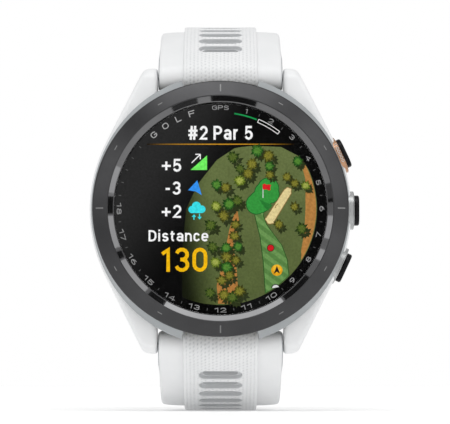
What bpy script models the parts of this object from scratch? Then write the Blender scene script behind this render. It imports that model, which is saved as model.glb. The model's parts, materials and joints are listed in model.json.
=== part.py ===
"""Golf GPS watch: round case with lugs, touch display, three side buttons and a two-piece silicone strap.

Built lying on its back, X to the buttons, Y to twelve o'clock and Z out of the dial, then stood up so that
twelve o'clock is +Z and the dial faces -Y. The origin is the middle of the rear sensor window's flat face.
Sizes below are in millimetres.
"""

from math import acos, atan, atan2, cos, pi, radians, sin, sqrt

import bmesh
import bpy
from mathutils import Matrix, Vector

MM = 0.001

# ---------------------------------------------------------------- driving dimensions
BEZEL_DIAMETER = 41.0
CASE_THICKNESS = 12.6
CASE_SIDE_OVERHANG = 0.55
LUG_OVERHANG = 2.8
STRAP_WIDTH = 19.8
LOOP_HEIGHT = 64.8
LOOP_REAR = 54.8
LOOP_SIDE_RADIUS = 50.0

# bezel and lens
BEZEL_LAND = 2.4
BEZEL_CHAMFER = 1.05
BEZEL_LAND_DROP = 0.7
BEZEL_HEIGHT = 1.85
BEZEL_LIP = 0.65
BEZEL_EDGE = 0.15
LENS_RECESS = 0.45
LENS_THICKNESS = 1.65
LENS_FLANGE = 1.05
LENS_FLANGE_THICKNESS = 0.65
RUNNING_GAP = 0.1
BEZEL_GASKET_SPACE = 0.45
GASKET_GAP = 0.06
GASKET_HALF = 0.4

# middle case
CASE_RIM = 1.8
CASE_WALL = 2.1
SHOULDER_HEIGHT = 1.0
SHOULDER_END = 1.05
SHOULDER_SIDE = 0.25
FLANK_RADIUS = 24.0
FLANK_SLOPE = 0.5
LUG_CLEARANCE = 0.25
LUG_TIP_RADIUS = 1.8
LUG_CORNER_RADIUS = 0.4
LUG_BAR_FROM_TIP = 1.6
LUG_FRONT_DROP = 1.2
LUG_TIP_DROP = 2.4
LUG_BACK_DROP = 0.6
END_WALL = 1.3
BAR_HOLE_RADIUS = 0.55
BAR_HOLE_DEPTH = 1.3

# back cover, rear sensor and charging contacts
SENSOR_PROUD = 0.9
SENSOR_RADIUS = 7.0
SENSOR_PLUG_RADIUS = 6.0
SENSOR_PLUG = 0.95
SENSOR_EDGE = 0.25
COVER_THICKNESS = 1.7
COVER_GASKET_SPACE = 0.3
COVER_INSET = 0.9
COVER_EAR_RADIUS = 2.1
SENSOR_BOARD_RADIUS = 7.6
SENSOR_BOARD_THICKNESS = 0.5
SCREW_FROM_COVER = 0.55
SCREW_FROM_NOTCH = 2.6
SCREW_SHANK_RADIUS = 0.6
SCREW_HEAD_RADIUS = 1.15
SCREW_HEAD_HEIGHT = 0.7
SCREW_LENGTH = 4.4
SCREW_SLOT = 0.4
CHARGE_PITCH = 2.0
CHARGE_PIN_RADIUS = 0.45
CHARGE_BLOCK_WIDTH = 9.0
CHARGE_BLOCK_HEIGHT = 3.0
CHARGE_FROM_CENTRE = 12.2

# inside the case
DISPLAY_THICKNESS = 0.8
DISPLAY_FRAME_THICKNESS = 0.5
BOARD_THICKNESS = 0.8
STACK_GAP = 0.12
SHIELD_SIZE = (14.0, 12.0, 1.0)
BOARD_FROM_WALL = 1.9
BOARD_FROM_FLAT = 0.4
SHIELD_OFFSET = (-0.8, 5.5)
BATTERY_WIDTH = 19.0
BATTERY_OFFSET = 1.6
BATTERY_FROM_FLAT = 3.2
MOTOR_GAP = 0.8
MOTOR_DROP = 2.5
BEEPER_OFFSET = (0.3, 7.2)
MOTOR_RADIUS = 3.6
MOTOR_HEIGHT = 2.6
BEEPER_RADIUS = 3.3
BEEPER_THICKNESS = 0.4
ANTENNA_WIDTH = 0.4

# buttons
BUTTON_ANGLES = {"top": 25.0, "middle": 0.0, "bottom": -25.0}
BUTTON_LENGTH = 4.9
BUTTON_WIDTH = 3.0
BUTTON_CAP_THICKNESS = 0.85
BUTTON_PROUD = 1.35
BUTTON_TRAVEL = 0.4
BUTTON_GUARD_WALL = 0.5
BUTTON_GUARD_THICKNESS = 0.7
BUTTON_GUARD_PROUD = 0.45
BUTTON_CLEARANCE = 0.15
STEM_RADIUS = 0.8
STEM_GROOVE_RADIUS = 0.5
STEM_INSIDE = 1.0
CLIP_FROM_CAVITY = 0.45
CLIP_HALF = 0.11
CLIP_SPACE = 0.04
SEAL_RADIUS = 0.36
SWITCH_SIZE = (3.0, 2.2, 1.3)

# strap
KNUCKLE_RADIUS = 3.25
BAND_WIDTH = 12.0
BAND_PROUD = 0.8
STRAP_THICKNESS = 3.3
TAIL_THICKNESS = 2.6
TAPER_LENGTH = 11.0
UPPER_LENGTH = 65.0
LOWER_LENGTH = 76.0
BAND_END = 3.2
SLOT_LENGTH = 7.0
SLOT_WIDTH = 2.15
SLOT_PITCH = 3.1
SLOT_START = 4.1
SLOT_COUNT = 6
HOLE_LENGTH = 5.0
HOLE_WIDTH = 2.0
HOLE_PITCH = 4.6
HOLE_COUNT = 8
HOLE_FROM_TAIL = 12.0
BAR_RADIUS = 0.75
BAR_BORE = 0.95
BAR_PIN_RADIUS = 0.42
RELEASE_TRAVEL = 1.1
RELEASE_KNOB_RADIUS = 0.75
RELEASE_FROM_EDGE = 4.5

# buckle and keepers
BUCKLE_PIN_RADIUS = 0.6
BUCKLE_PIN_BORE = 0.75
BUCKLE_EYE_RADIUS = 1.5
BUCKLE_BAR = 2.2
BUCKLE_REACH = 12.0
BUCKLE_SIDE_GAP = 0.3
TONGUE_WIDTH = 3.6
TONGUE_THICKNESS = 1.2
TONGUE_ROOM = 2.5
KEEPER_WALL = 1.2
KEEPER_LENGTH = 5.0
KEEPER_GAP = 0.25
KEEPER_ROOM = 2.9
KEEPER_FIXED_FROM_END = 6.0
KEEPER_FREE_FROM_END = 12.8

# ---------------------------------------------------------------- derived sizes
bezel_radius = BEZEL_DIAMETER / 2
crest_radius = bezel_radius - BEZEL_LAND
glass_radius = crest_radius - BEZEL_CHAMFER
lens_radius = glass_radius + LENS_FLANGE
pocket_radius = bezel_radius - CASE_RIM
cavity_radius = bezel_radius - CASE_WALL
case_half_width = bezel_radius + CASE_SIDE_OVERHANG
lug_reach = bezel_radius + LUG_OVERHANG
lug_inner = STRAP_WIDTH / 2 + LUG_CLEARANCE
bar_reach = lug_reach - LUG_BAR_FROM_TIP
notch_reach = bar_reach - KNUCKLE_RADIUS - LUG_CLEARANCE
cavity_flat = notch_reach - END_WALL

lens_front = CASE_THICKNESS - LENS_RECESS
lens_back = lens_front - LENS_THICKNESS
bezel_bottom = CASE_THICKNESS - BEZEL_HEIGHT
case_top = bezel_bottom - BEZEL_GASKET_SPACE
shoulder_bottom = case_top - SHOULDER_HEIGHT
cover_bottom = SENSOR_PROUD
cover_top = cover_bottom + COVER_THICKNESS
case_bottom = cover_top + COVER_GASKET_SPACE
display_top = lens_back - STACK_GAP
frame_top = display_top - DISPLAY_THICKNESS - STACK_GAP
pocket_floor = frame_top - DISPLAY_FRAME_THICKNESS - STACK_GAP
board_top = pocket_floor - STACK_GAP
board_bottom = board_top - BOARD_THICKNESS
bar_height = shoulder_bottom - KNUCKLE_RADIUS - LUG_CLEARANCE - 2 * RUNNING_GAP
button_height = (case_bottom + shoulder_bottom) / 2 + 2 * RUNNING_GAP

front_radius = LOOP_HEIGHT / 2
knuckle_angle = atan2(bar_reach, sqrt((front_radius - KNUCKLE_RADIUS) ** 2 - bar_reach**2))
front_centre = bar_height - (front_radius - KNUCKLE_RADIUS) * cos(knuckle_angle)
side_offset = LOOP_SIDE_RADIUS - front_radius
rear_reach = LOOP_REAR + front_centre
rear_shift = (side_offset**2 - (LOOP_SIDE_RADIUS - rear_reach) ** 2) / (2 * (LOOP_SIDE_RADIUS - rear_reach))
rear_radius = rear_reach - rear_shift
rear_centre = front_centre - rear_shift
side_sweep = atan2(rear_shift, side_offset)
front_length = front_radius * (pi / 2 - knuckle_angle)
side_length = LOOP_SIDE_RADIUS * side_sweep


# ---------------------------------------------------------------- scene, materials and small helpers
def clear_scene():
    for old in list(bpy.data.objects):
        bpy.data.objects.remove(old, do_unlink=True)


def make_collection(name):
    collection = bpy.data.collections.new(name)
    bpy.context.scene.collection.children.link(collection)
    return collection


def make_material(name, colour, roughness, metallic=0.0, transmission=0.0):
    material = bpy.data.materials.new(name)
    material.use_nodes = True
    shader = material.node_tree.nodes["Principled BSDF"]
    shader.inputs["Base Color"].default_value = (*colour, 1.0)
    shader.inputs["Roughness"].default_value = roughness
    shader.inputs["Metallic"].default_value = metallic
    shader.inputs["Transmission Weight"].default_value = transmission
    material.diffuse_color = (*colour, 1.0)
    return material


clear_scene()
parts = make_collection("golf_gps_watch")
cutters = make_collection("cutters")

watch = bpy.data.objects.new("watch_axes", None)
watch.rotation_euler = (pi / 2, 0, 0)
parts.objects.link(watch)

FINISHES = {
    "white_polymer": make_material("white_polymer", (0.86, 0.87, 0.87), 0.4),
    "grey_ceramic": make_material("grey_ceramic", (0.1, 0.1, 0.105), 0.3, 0.6),
    "black_rubber": make_material("black_rubber", (0.02, 0.02, 0.02), 0.7),
    "clear_glass": make_material("clear_glass", (0.95, 0.96, 0.97), 0.02, 0.0, 0.9),
    "black_display": make_material("black_display", (0.01, 0.01, 0.012), 0.2),
    "steel": make_material("steel", (0.6, 0.6, 0.6), 0.3, 1.0),
    "green_board": make_material("green_board", (0.02, 0.16, 0.07), 0.5),
    "foil_wrap": make_material("foil_wrap", (0.5, 0.51, 0.52), 0.35, 0.7),
    "dark_polymer": make_material("dark_polymer", (0.05, 0.05, 0.055), 0.5),
    "gold_contact": make_material("gold_contact", (0.8, 0.6, 0.25), 0.25, 1.0),
    "black_metal": make_material("black_metal", (0.03, 0.03, 0.032), 0.3, 0.8),
    "copper_metal": make_material("copper_metal", (0.72, 0.42, 0.24), 0.3, 1.0),
    "pale_metal": make_material("pale_metal", (0.62, 0.64, 0.64), 0.35, 0.8),
    "white_silicone": make_material("white_silicone", (0.88, 0.88, 0.88), 0.55),
}


def in_metres(points):
    return [Vector(point) * MM for point in points]


def adopt(obj, collection, parent):
    collection.objects.link(obj)
    obj.parent = parent
    return obj


def finish(obj, material):
    """Gives a sub-part its material, and smooth shading with its corners kept sharp."""
    obj.data.materials.clear()
    obj.data.materials.append(FINISHES[material])
    obj.data.shade_smooth()
    obj.data.set_sharp_from_angle(angle=radians(35))
    return obj


def joint_axis(name, location, rotation, parent=None):
    """An empty that stands on a joint's axis, for the pieces that move about it."""
    empty = bpy.data.objects.new(name, None)
    empty.location = Vector(location) * MM
    empty.rotation_euler = rotation
    return adopt(empty, parts, parent or watch)


def ring_section(obj, segments):
    screw = obj.modifiers.new("turn", "SCREW")
    screw.steps = segments
    screw.render_steps = segments
    screw.use_merge_vertices = True
    screw.merge_threshold = 0.00001
    return obj


def turned(name, profile, segments, parent=None, height=0.0, closed=True, collection=None):
    """A turned body about the parent's Z. The profile's (radius, height) points run down the outer side."""
    points = in_metres((radius, 0, level) for radius, level in profile)
    edges = [(i, i + 1) for i in range(len(points) - 1)]
    if closed:
        edges.append((len(points) - 1, 0))
    mesh = bpy.data.meshes.new(name)
    mesh.from_pydata(points, edges, [])
    obj = adopt(bpy.data.objects.new(name, mesh), collection or parts, parent or watch)
    obj.location.z = height * MM
    return ring_section(obj, segments)


def disc(name, radius, bottom, top, segments, parent=None, at=(0, 0), collection=None):
    """A solid round plate or rod along the parent's Z."""
    mesh = bpy.data.meshes.new(name)
    shape = bmesh.new()
    bmesh.ops.create_cone(
        shape,
        cap_ends=True,
        segments=segments,
        radius1=radius * MM,
        radius2=radius * MM,
        depth=(top - bottom) * MM,
    )
    shape.to_mesh(mesh)
    shape.free()
    obj = adopt(bpy.data.objects.new(name, mesh), collection or parts, parent or watch)
    obj.location = Vector((at[0], at[1], (bottom + top) / 2)) * MM
    return obj


def tube(name, inner, outer, bottom, top, segments, parent=None, at=(0, 0)):
    profile = [(outer, top), (outer, bottom), (inner, bottom), (inner, top)]
    obj = turned(name, profile, segments, parent)
    obj.location.x = at[0] * MM
    obj.location.y = at[1] * MM
    return obj


def block(name, size, centre, parent=None, collection=None):
    mesh = bpy.data.meshes.new(name)
    shape = bmesh.new()
    bmesh.ops.create_cube(shape, size=1)
    bmesh.ops.scale(shape, vec=Vector(size) * MM, verts=shape.verts)
    shape.to_mesh(mesh)
    shape.free()
    obj = adopt(bpy.data.objects.new(name, mesh), collection or parts, parent or watch)
    obj.location = Vector(centre) * MM
    return obj


def plate(name, outlines, bottom, top, parent=None, collection=None):
    """A flat outline, with any holes as further outlines, given thickness along the parent's Z."""
    curve = bpy.data.curves.new(name, "CURVE")
    curve.dimensions = "2D"
    curve.fill_mode = "BOTH"
    curve.extrude = (top - bottom) / 2 * MM
    for outline in outlines:
        spline = curve.splines.new("POLY")
        spline.points.add(len(outline) - 1)
        spline.use_cyclic_u = True
        for point, (x, y) in zip(spline.points, outline):
            point.co = (x * MM, y * MM, 0, 1)
    flat = bpy.data.objects.new(name + "_outline", curve)
    parts.objects.link(flat)
    graph = bpy.context.evaluated_depsgraph_get()
    mesh = bpy.data.meshes.new_from_object(flat.evaluated_get(graph))
    bpy.data.objects.remove(flat, do_unlink=True)
    mesh.name = name
    shape = bmesh.new()
    shape.from_mesh(mesh)
    bmesh.ops.remove_doubles(shape, verts=shape.verts, dist=0.000001)
    bmesh.ops.recalc_face_normals(shape, faces=shape.faces)
    shape.to_mesh(mesh)
    shape.free()
    obj = adopt(bpy.data.objects.new(name, mesh), collection or parts, parent or watch)
    obj.location.z = (bottom + top) / 2 * MM
    return obj


def combine(target, tool, operation):
    """Cuts, joins or trims the target with a tool, which is then only a helper."""
    for collection in list(tool.users_collection):
        collection.objects.unlink(tool)
    cutters.objects.link(tool)
    tool.hide_render = True
    tool.display_type = "WIRE"
    change = target.modifiers.new(tool.name, "BOOLEAN")
    change.operation = operation
    change.object = tool
    return target


def cut(target, tool):
    return combine(target, tool, "DIFFERENCE")


def join(target, tool):
    return combine(target, tool, "UNION")


# ---------------------------------------------------------------- outlines
def arc(centre, radius, start, end, steps):
    """Points on an arc, from one angle to another in radians, both ends included."""
    turns = [start + (end - start) * i / steps for i in range(steps + 1)]
    return [(centre[0] + radius * cos(turn), centre[1] + radius * sin(turn)) for turn in turns]


def circle(radius, steps, centre=(0, 0)):
    return arc(centre, radius, 0, 2 * pi, steps)[:-1]


def pill(length, width, steps=4):
    """A slot shape along X, with round ends."""
    reach = (length - width) / 2
    right = arc((reach, 0), width / 2, -pi / 2, pi / 2, steps)
    left = arc((-reach, 0), width / 2, pi / 2, 3 * pi / 2, steps)
    return right + left


def rounded(corners, steps=3):
    """A closed outline through (x, y, radius) corners, each rounded by its radius."""
    outline = []
    for index, (x, y, radius) in enumerate(corners):
        here = Vector((x, y))
        if radius <= 0:
            outline.append((x, y))
            continue
        before = Vector(corners[index - 1][:2]) - here
        after = Vector(corners[(index + 1) % len(corners)][:2]) - here
        before.normalize()
        after.normalize()
        half = acos(max(-1, min(1, before.dot(after)))) / 2
        middle = here + (before + after).normalized() * (radius / sin(half))
        first = here + before * (radius / (sin(half) / cos(half))) - middle
        last = here + after * (radius / (sin(half) / cos(half))) - middle
        turn = atan2(first.x * last.y - first.y * last.x, first.dot(last))
        start = atan2(first.y, first.x)
        outline += arc(middle, radius, start, start + turn, steps)
    return outline


def mirrored_round(quarter):
    """A full outline from the points of its first quarter, which run from the X side to the Y side."""
    upper = quarter + [(-x, y) for x, y in reversed(quarter)]
    return upper + [(-x, -y) for x, y in upper]


def clipped_circle(radius, flat, steps):
    """A quarter of a circle whose top is cut off flat, from the X side round to the Y side."""
    if flat >= radius:
        return arc((0, 0), radius, 0, pi / 2, steps)
    end = atan2(flat, sqrt(radius**2 - flat**2))
    return arc((0, 0), radius, 0, end, steps)


# ---------------------------------------------------------------- middle case
def case_outline():
    """The case and its four lugs seen from the front."""
    flank_centre = (case_half_width - FLANK_RADIUS, 0)
    flank_end = atan(FLANK_SLOPE)
    flank = arc(flank_centre, FLANK_RADIUS, 0, flank_end, 8)
    end_x, end_y = flank[-1]
    tip_x = end_x - FLANK_SLOPE * (lug_reach - end_y)
    lug = [
        (end_x, end_y, 0),
        (tip_x, lug_reach, LUG_TIP_RADIUS),
        (lug_inner, lug_reach, LUG_CORNER_RADIUS),
        (lug_inner, notch_reach, 0),
    ]
    rounded_lug = rounded(lug, 4)
    return mirrored_round(flank[:-1] + rounded_lug)


def case_side():
    """The case seen from the side, with the lugs falling away to the back."""
    low = case_bottom - LUG_BACK_DROP
    half = [
        (crest_radius * 0.7, shoulder_bottom, 2.0),
        (bar_reach, shoulder_bottom - LUG_FRONT_DROP, 1.0),
        (lug_reach, shoulder_bottom - LUG_TIP_DROP, 0.8),
        (lug_reach, low + 1.2, 0.8),
        (lug_reach - 0.9, low, 0.5),
        (notch_reach - 0.4, case_bottom, 0),
    ]
    other_half = [(-x, y, radius) for x, y, radius in reversed(half)]
    return rounded(half + other_half, 2)


def shoulder_ring():
    """The sloped shoulder round the bezel's seat: a circle above, an ellipse below."""
    steps = 72
    mesh = bpy.data.meshes.new("case_shoulder")
    shape = bmesh.new()
    seat = (bezel_radius - RUNNING_GAP) * MM
    bmesh.ops.create_cone(
        shape, cap_ends=True, segments=steps, radius1=seat, radius2=seat, depth=SHOULDER_HEIGHT * MM
    )
    across = (bezel_radius + SHOULDER_SIDE) / (bezel_radius - RUNNING_GAP)
    along = (bezel_radius + SHOULDER_END) / (bezel_radius - RUNNING_GAP)
    low = [vert for vert in shape.verts if vert.co.z < 0]
    bmesh.ops.scale(shape, vec=(across, along, 1), verts=low)
    shape.to_mesh(mesh)
    shape.free()
    obj = adopt(bpy.data.objects.new("case_shoulder", mesh), parts, watch)
    obj.location.z = (case_top + shoulder_bottom) / 2 * MM
    return obj


def pocket_cutters():
    """The hollow of the case: a round pocket for the display, and below it a cavity with two flats."""
    display = disc("display_pocket", pocket_radius, pocket_floor, case_top + 1, 64)
    quarter = clipped_circle(cavity_radius, cavity_flat, 10)
    cavity = plate("case_cavity", [mirrored_round(quarter)], case_bottom - 3, pocket_floor + 0.4)
    return display, cavity


def make_mid_case():
    case = plate("mid_case", [case_outline()], case_bottom - 2, shoulder_bottom)
    side = plate("case_side", [case_side()], -30, 30, joint_axis("side_view", (0, 0, 0), (pi / 2, 0, pi / 2)))
    combine(case, side, "INTERSECT")
    ring = shoulder_ring()
    ring.location.z -= RUNNING_GAP * MM / 2
    for end in (1, -1):
        reach = bezel_radius + SHOULDER_END + 1
        seat = bezel_radius - RUNNING_GAP
        notch = plate(
            f"band_notch_{'upper' if end > 0 else 'lower'}",
            [[(-BAND_WIDTH / 2 - LUG_CLEARANCE, end * reach)]
             + arc((0, 0), seat, end * (pi / 2 + 0.31), end * (pi / 2 - 0.31), 8)
             + [(BAND_WIDTH / 2 + LUG_CLEARANCE, end * reach)]],
            shoulder_bottom - 1,
            case_top + 1,
        )
        cut(ring, notch)
    join(case, ring)
    for pocket in pocket_cutters():
        cut(case, pocket)
    for name, angle in BUTTON_ANGLES.items():
        for pocket in button_pockets(name, angle):
            cut(case, pocket)
    for end in (1, -1):
        place = (0, end * bar_reach, bar_height)
        axis = joint_axis(f"bar_hole_axis_{'upper' if end > 0 else 'lower'}", place, (pi / 2, 0, pi / 2))
        reach = lug_inner + BAR_HOLE_DEPTH
        cut(case, disc(f"bar_hole_{end}", BAR_HOLE_RADIUS, -reach, reach, 12, axis))
    for index, (x, y) in enumerate(screw_places()):
        hole = disc(f"screw_hole_{index}", SCREW_SHANK_RADIUS + RUNNING_GAP, case_bottom - 1,
                    cover_bottom + SCREW_LENGTH + 0.4, 12, at=(x, y))
        cut(case, hole)
    return finish(case, "white_polymer")


def screw_places():
    y = notch_reach - SCREW_FROM_NOTCH
    x = sqrt((bezel_radius - COVER_INSET + SCREW_FROM_COVER) ** 2 - y**2)
    return [(x, y), (-x, y), (-x, -y), (x, -y)]


# ---------------------------------------------------------------- bezel, lens and display
def make_bezel():
    lip = lens_front - BEZEL_LIP
    bore = lens_radius + RUNNING_GAP
    profile = [
        (glass_radius + RUNNING_GAP / 2, lens_front),
        (crest_radius, CASE_THICKNESS),
        (bezel_radius - BEZEL_EDGE, CASE_THICKNESS - BEZEL_LAND_DROP),
        (bezel_radius, CASE_THICKNESS - BEZEL_LAND_DROP - BEZEL_EDGE),
        (bezel_radius, bezel_bottom),
        (bore, bezel_bottom),
        (bore, lip),
        (glass_radius + RUNNING_GAP / 2, lip),
    ]
    return finish(turned("bezel", profile, 72), "grey_ceramic")


def make_bezel_gasket():
    middle = (pocket_radius + bezel_radius) / 2
    low = case_top + GASKET_GAP
    high = bezel_bottom - GASKET_GAP
    ring = tube("bezel_gasket", middle - GASKET_HALF, middle + GASKET_HALF, low, high, 48)
    return finish(ring, "black_rubber")


def make_lens():
    flange = lens_back + LENS_FLANGE_THICKNESS
    profile = [
        (0, lens_front),
        (glass_radius - RUNNING_GAP / 2, lens_front),
        (glass_radius - RUNNING_GAP / 2, flange),
        (lens_radius, flange),
        (lens_radius, lens_back),
        (0, lens_back),
    ]
    return finish(turned("display_lens", profile, 64, closed=False), "clear_glass")


def make_display():
    panel = disc("display_panel", lens_radius - 0.4, display_top - DISPLAY_THICKNESS, display_top, 64)
    finish(panel, "black_display")
    hole = rounded([(8, 7, 1), (-8, 7, 1), (-8, -7, 1), (8, -7, 1)], 2)
    frame = plate(
        "display_frame",
        [circle(lens_radius - 0.4, 48), hole],
        frame_top - DISPLAY_FRAME_THICKNESS,
        frame_top,
    )
    finish(frame, "dark_polymer")
    inner = lens_radius - 0.4 + RUNNING_GAP
    antenna = tube("antenna_ring", inner, inner + ANTENNA_WIDTH, pocket_floor + STACK_GAP, frame_top, 48)
    finish(antenna, "gold_contact")


# ---------------------------------------------------------------- electronics
def make_electronics():
    quarter = clipped_circle(cavity_radius - BOARD_FROM_WALL, cavity_flat - BOARD_FROM_FLAT, 8)
    board = plate("main_board", [mirrored_round(quarter)], board_bottom, board_top)
    finish(board, "green_board")
    shield_centre = (*SHIELD_OFFSET, board_bottom - STACK_GAP - SHIELD_SIZE[2] / 2)
    finish(block("shield_can", SHIELD_SIZE, shield_centre), "steel")
    top = board_bottom - STACK_GAP - SHIELD_SIZE[2] - STACK_GAP
    bottom = case_bottom + STACK_GAP
    half_x = BATTERY_WIDTH / 2
    half_y = cavity_flat - BATTERY_FROM_FLAT
    corners = [(half_x, half_y, 2), (-half_x, half_y, 2), (-half_x, -half_y, 2), (half_x, -half_y, 2)]
    battery = plate("battery_cell", [rounded(corners, 3)], bottom, top)
    battery.location.x = BATTERY_OFFSET * MM
    finish(battery, "foil_wrap")
    motor_x = BATTERY_OFFSET - half_x - MOTOR_RADIUS - MOTOR_GAP
    motor_top = board_bottom - STACK_GAP
    motor_bottom = motor_top - MOTOR_HEIGHT
    motor = disc("vibration_motor", MOTOR_RADIUS, motor_bottom, motor_top, 32, at=(motor_x, -MOTOR_DROP))
    finish(motor, "steel")
    beeper_bottom = cover_top + STACK_GAP
    beeper_place = (motor_x + BEEPER_OFFSET[0], BEEPER_OFFSET[1])
    beeper_top = beeper_bottom + BEEPER_THICKNESS
    beeper = disc("beeper_disc", BEEPER_RADIUS, beeper_bottom, beeper_top, 24, at=beeper_place)
    finish(beeper, "gold_contact")


# ---------------------------------------------------------------- back of the case
def cover_outline(inset):
    return mirrored_round(clipped_circle(bezel_radius - COVER_INSET - inset, notch_reach - 0.15 - inset, 10))


def make_back():
    cover = plate("back_cover", [cover_outline(0)], cover_bottom, cover_top)
    for index, (x, y) in enumerate(screw_places()):
        join(cover, disc(f"cover_ear_{index}", COVER_EAR_RADIUS, cover_bottom, cover_top, 20, at=(x, y)))
    cut(cover, disc("sensor_bore", SENSOR_PLUG_RADIUS + RUNNING_GAP, -1, cover_top + 1, 40))
    recess_floor = SENSOR_PROUD + SENSOR_PLUG + STACK_GAP
    cut(cover, disc("sensor_recess", SENSOR_BOARD_RADIUS + RUNNING_GAP, recess_floor, cover_top + 1, 40))
    for index, (x, y) in enumerate(screw_places()):
        bore = SCREW_SHANK_RADIUS + RUNNING_GAP
        cut(cover, disc(f"cover_bore_{index}", bore, -1, cover_top + 1, 12, at=(x, y)))
        sink = SCREW_HEAD_RADIUS + RUNNING_GAP
        floor = cover_bottom + SCREW_HEAD_HEIGHT + RUNNING_GAP
        cut(cover, disc(f"cover_sink_{index}", sink, -1, floor, 16, at=(x, y)))
    slot = (CHARGE_BLOCK_WIDTH + RUNNING_GAP, CHARGE_BLOCK_HEIGHT + RUNNING_GAP, 2 * COVER_THICKNESS)
    cut(cover, block("charge_slot", slot, (0, -CHARGE_FROM_CENTRE, cover_bottom + COVER_THICKNESS / 2)))
    finish(cover, "dark_polymer")

    gasket = plate(
        "back_gasket",
        [cover_outline(0.3), cover_outline(0.85)],
        cover_top + GASKET_GAP / 2,
        case_bottom - GASKET_GAP / 2,
    )
    finish(gasket, "black_rubber")
    make_sensor()
    make_screws()
    make_charge_contacts()


def make_sensor():
    rim = SENSOR_PROUD - GASKET_GAP
    profile = [
        (0, SENSOR_PROUD + SENSOR_PLUG),
        (SENSOR_PLUG_RADIUS, SENSOR_PROUD + SENSOR_PLUG),
        (SENSOR_PLUG_RADIUS, rim),
        (SENSOR_RADIUS, rim),
        (SENSOR_RADIUS, SENSOR_EDGE),
        (SENSOR_RADIUS - SENSOR_EDGE, 0),
        (0, 0),
    ]
    finish(turned("sensor_window", profile, 40, closed=False), "clear_glass")
    bottom = SENSOR_PROUD + SENSOR_PLUG + 2 * STACK_GAP
    board = disc("sensor_board", SENSOR_BOARD_RADIUS, bottom, bottom + SENSOR_BOARD_THICKNESS, 32)
    finish(board, "green_board")


def make_screws():
    for index, (x, y) in enumerate(screw_places(), start=1):
        head_top = cover_bottom + SCREW_HEAD_HEIGHT
        profile = [
            (0, cover_bottom + SCREW_LENGTH),
            (SCREW_SHANK_RADIUS, cover_bottom + SCREW_LENGTH),
            (SCREW_SHANK_RADIUS, head_top),
            (SCREW_HEAD_RADIUS, head_top),
            (SCREW_HEAD_RADIUS, cover_bottom),
            (0, cover_bottom),
        ]
        screw = turned(f"back_screw_{index}", profile, 16, closed=False)
        screw.location.x = x * MM
        screw.location.y = y * MM
        slot = block(f"screw_slot_{index}", (4, SCREW_SLOT, SCREW_SLOT * 2), (x, y, cover_bottom))
        finish(cut(screw, slot), "steel")


def make_charge_contacts():
    size = (CHARGE_BLOCK_WIDTH - RUNNING_GAP, CHARGE_BLOCK_HEIGHT - RUNNING_GAP, COVER_THICKNESS - 0.2)
    level = cover_bottom + COVER_THICKNESS / 2 + 0.1
    carrier = block("charge_carrier", size, (0, -CHARGE_FROM_CENTRE, level))
    for index in range(4):
        place = ((index - 1.5) * CHARGE_PITCH, -CHARGE_FROM_CENTRE)
        bore = CHARGE_PIN_RADIUS + RUNNING_GAP
        cut(carrier, disc(f"charge_bore_{index}", bore, -1, cover_top + 2, 12, at=place))
        low = cover_bottom - 0.15
        pin = disc(f"charge_pin_{index + 1}", CHARGE_PIN_RADIUS, low, cover_top + 0.1, 12, at=place)
        finish(pin, "gold_contact")
    finish(carrier, "dark_polymer")


# ---------------------------------------------------------------- buttons
guard_length = BUTTON_LENGTH + 2 * (BUTTON_CLEARANCE + BUTTON_GUARD_WALL)
guard_width = BUTTON_WIDTH + 2 * (BUTTON_CLEARANCE + BUTTON_GUARD_WALL)
guard_outer = case_half_width + BUTTON_GUARD_PROUD
guard_floor = guard_outer - BUTTON_GUARD_THICKNESS
cap_outer = case_half_width + BUTTON_PROUD
seal_place = guard_floor - 0.35 - SEAL_RADIUS
stem_end = cavity_radius - STEM_INSIDE
clip_place = cavity_radius - CLIP_FROM_CAVITY


def button_axis(name, angle):
    """An empty at the case's middle whose Z points out along the button's stem."""
    return joint_axis(f"{name}_button_axis", (0, 0, button_height), (pi / 2, 0, pi / 2 + radians(angle)))


def button_pockets(name, angle):
    axis = button_axis(f"pocket_{name}", angle)
    pocket = plate(
        f"guard_pocket_{name}",
        [pill(guard_length + 2 * RUNNING_GAP, guard_width + 2 * RUNNING_GAP, 6)],
        guard_floor - RUNNING_GAP,
        guard_outer + 2,
        axis,
    )
    seal_bore = disc(
        f"seal_bore_{name}",
        STEM_RADIUS + 2 * SEAL_RADIUS + 3 * RUNNING_GAP,
        seal_place - SEAL_RADIUS - BUTTON_TRAVEL - RUNNING_GAP,
        guard_outer,
        16,
        axis,
    )
    stem_bore = disc(f"stem_bore_{name}", STEM_RADIUS + RUNNING_GAP, stem_end - 1, guard_outer, 16, axis)
    return pocket, seal_bore, stem_bore


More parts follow.
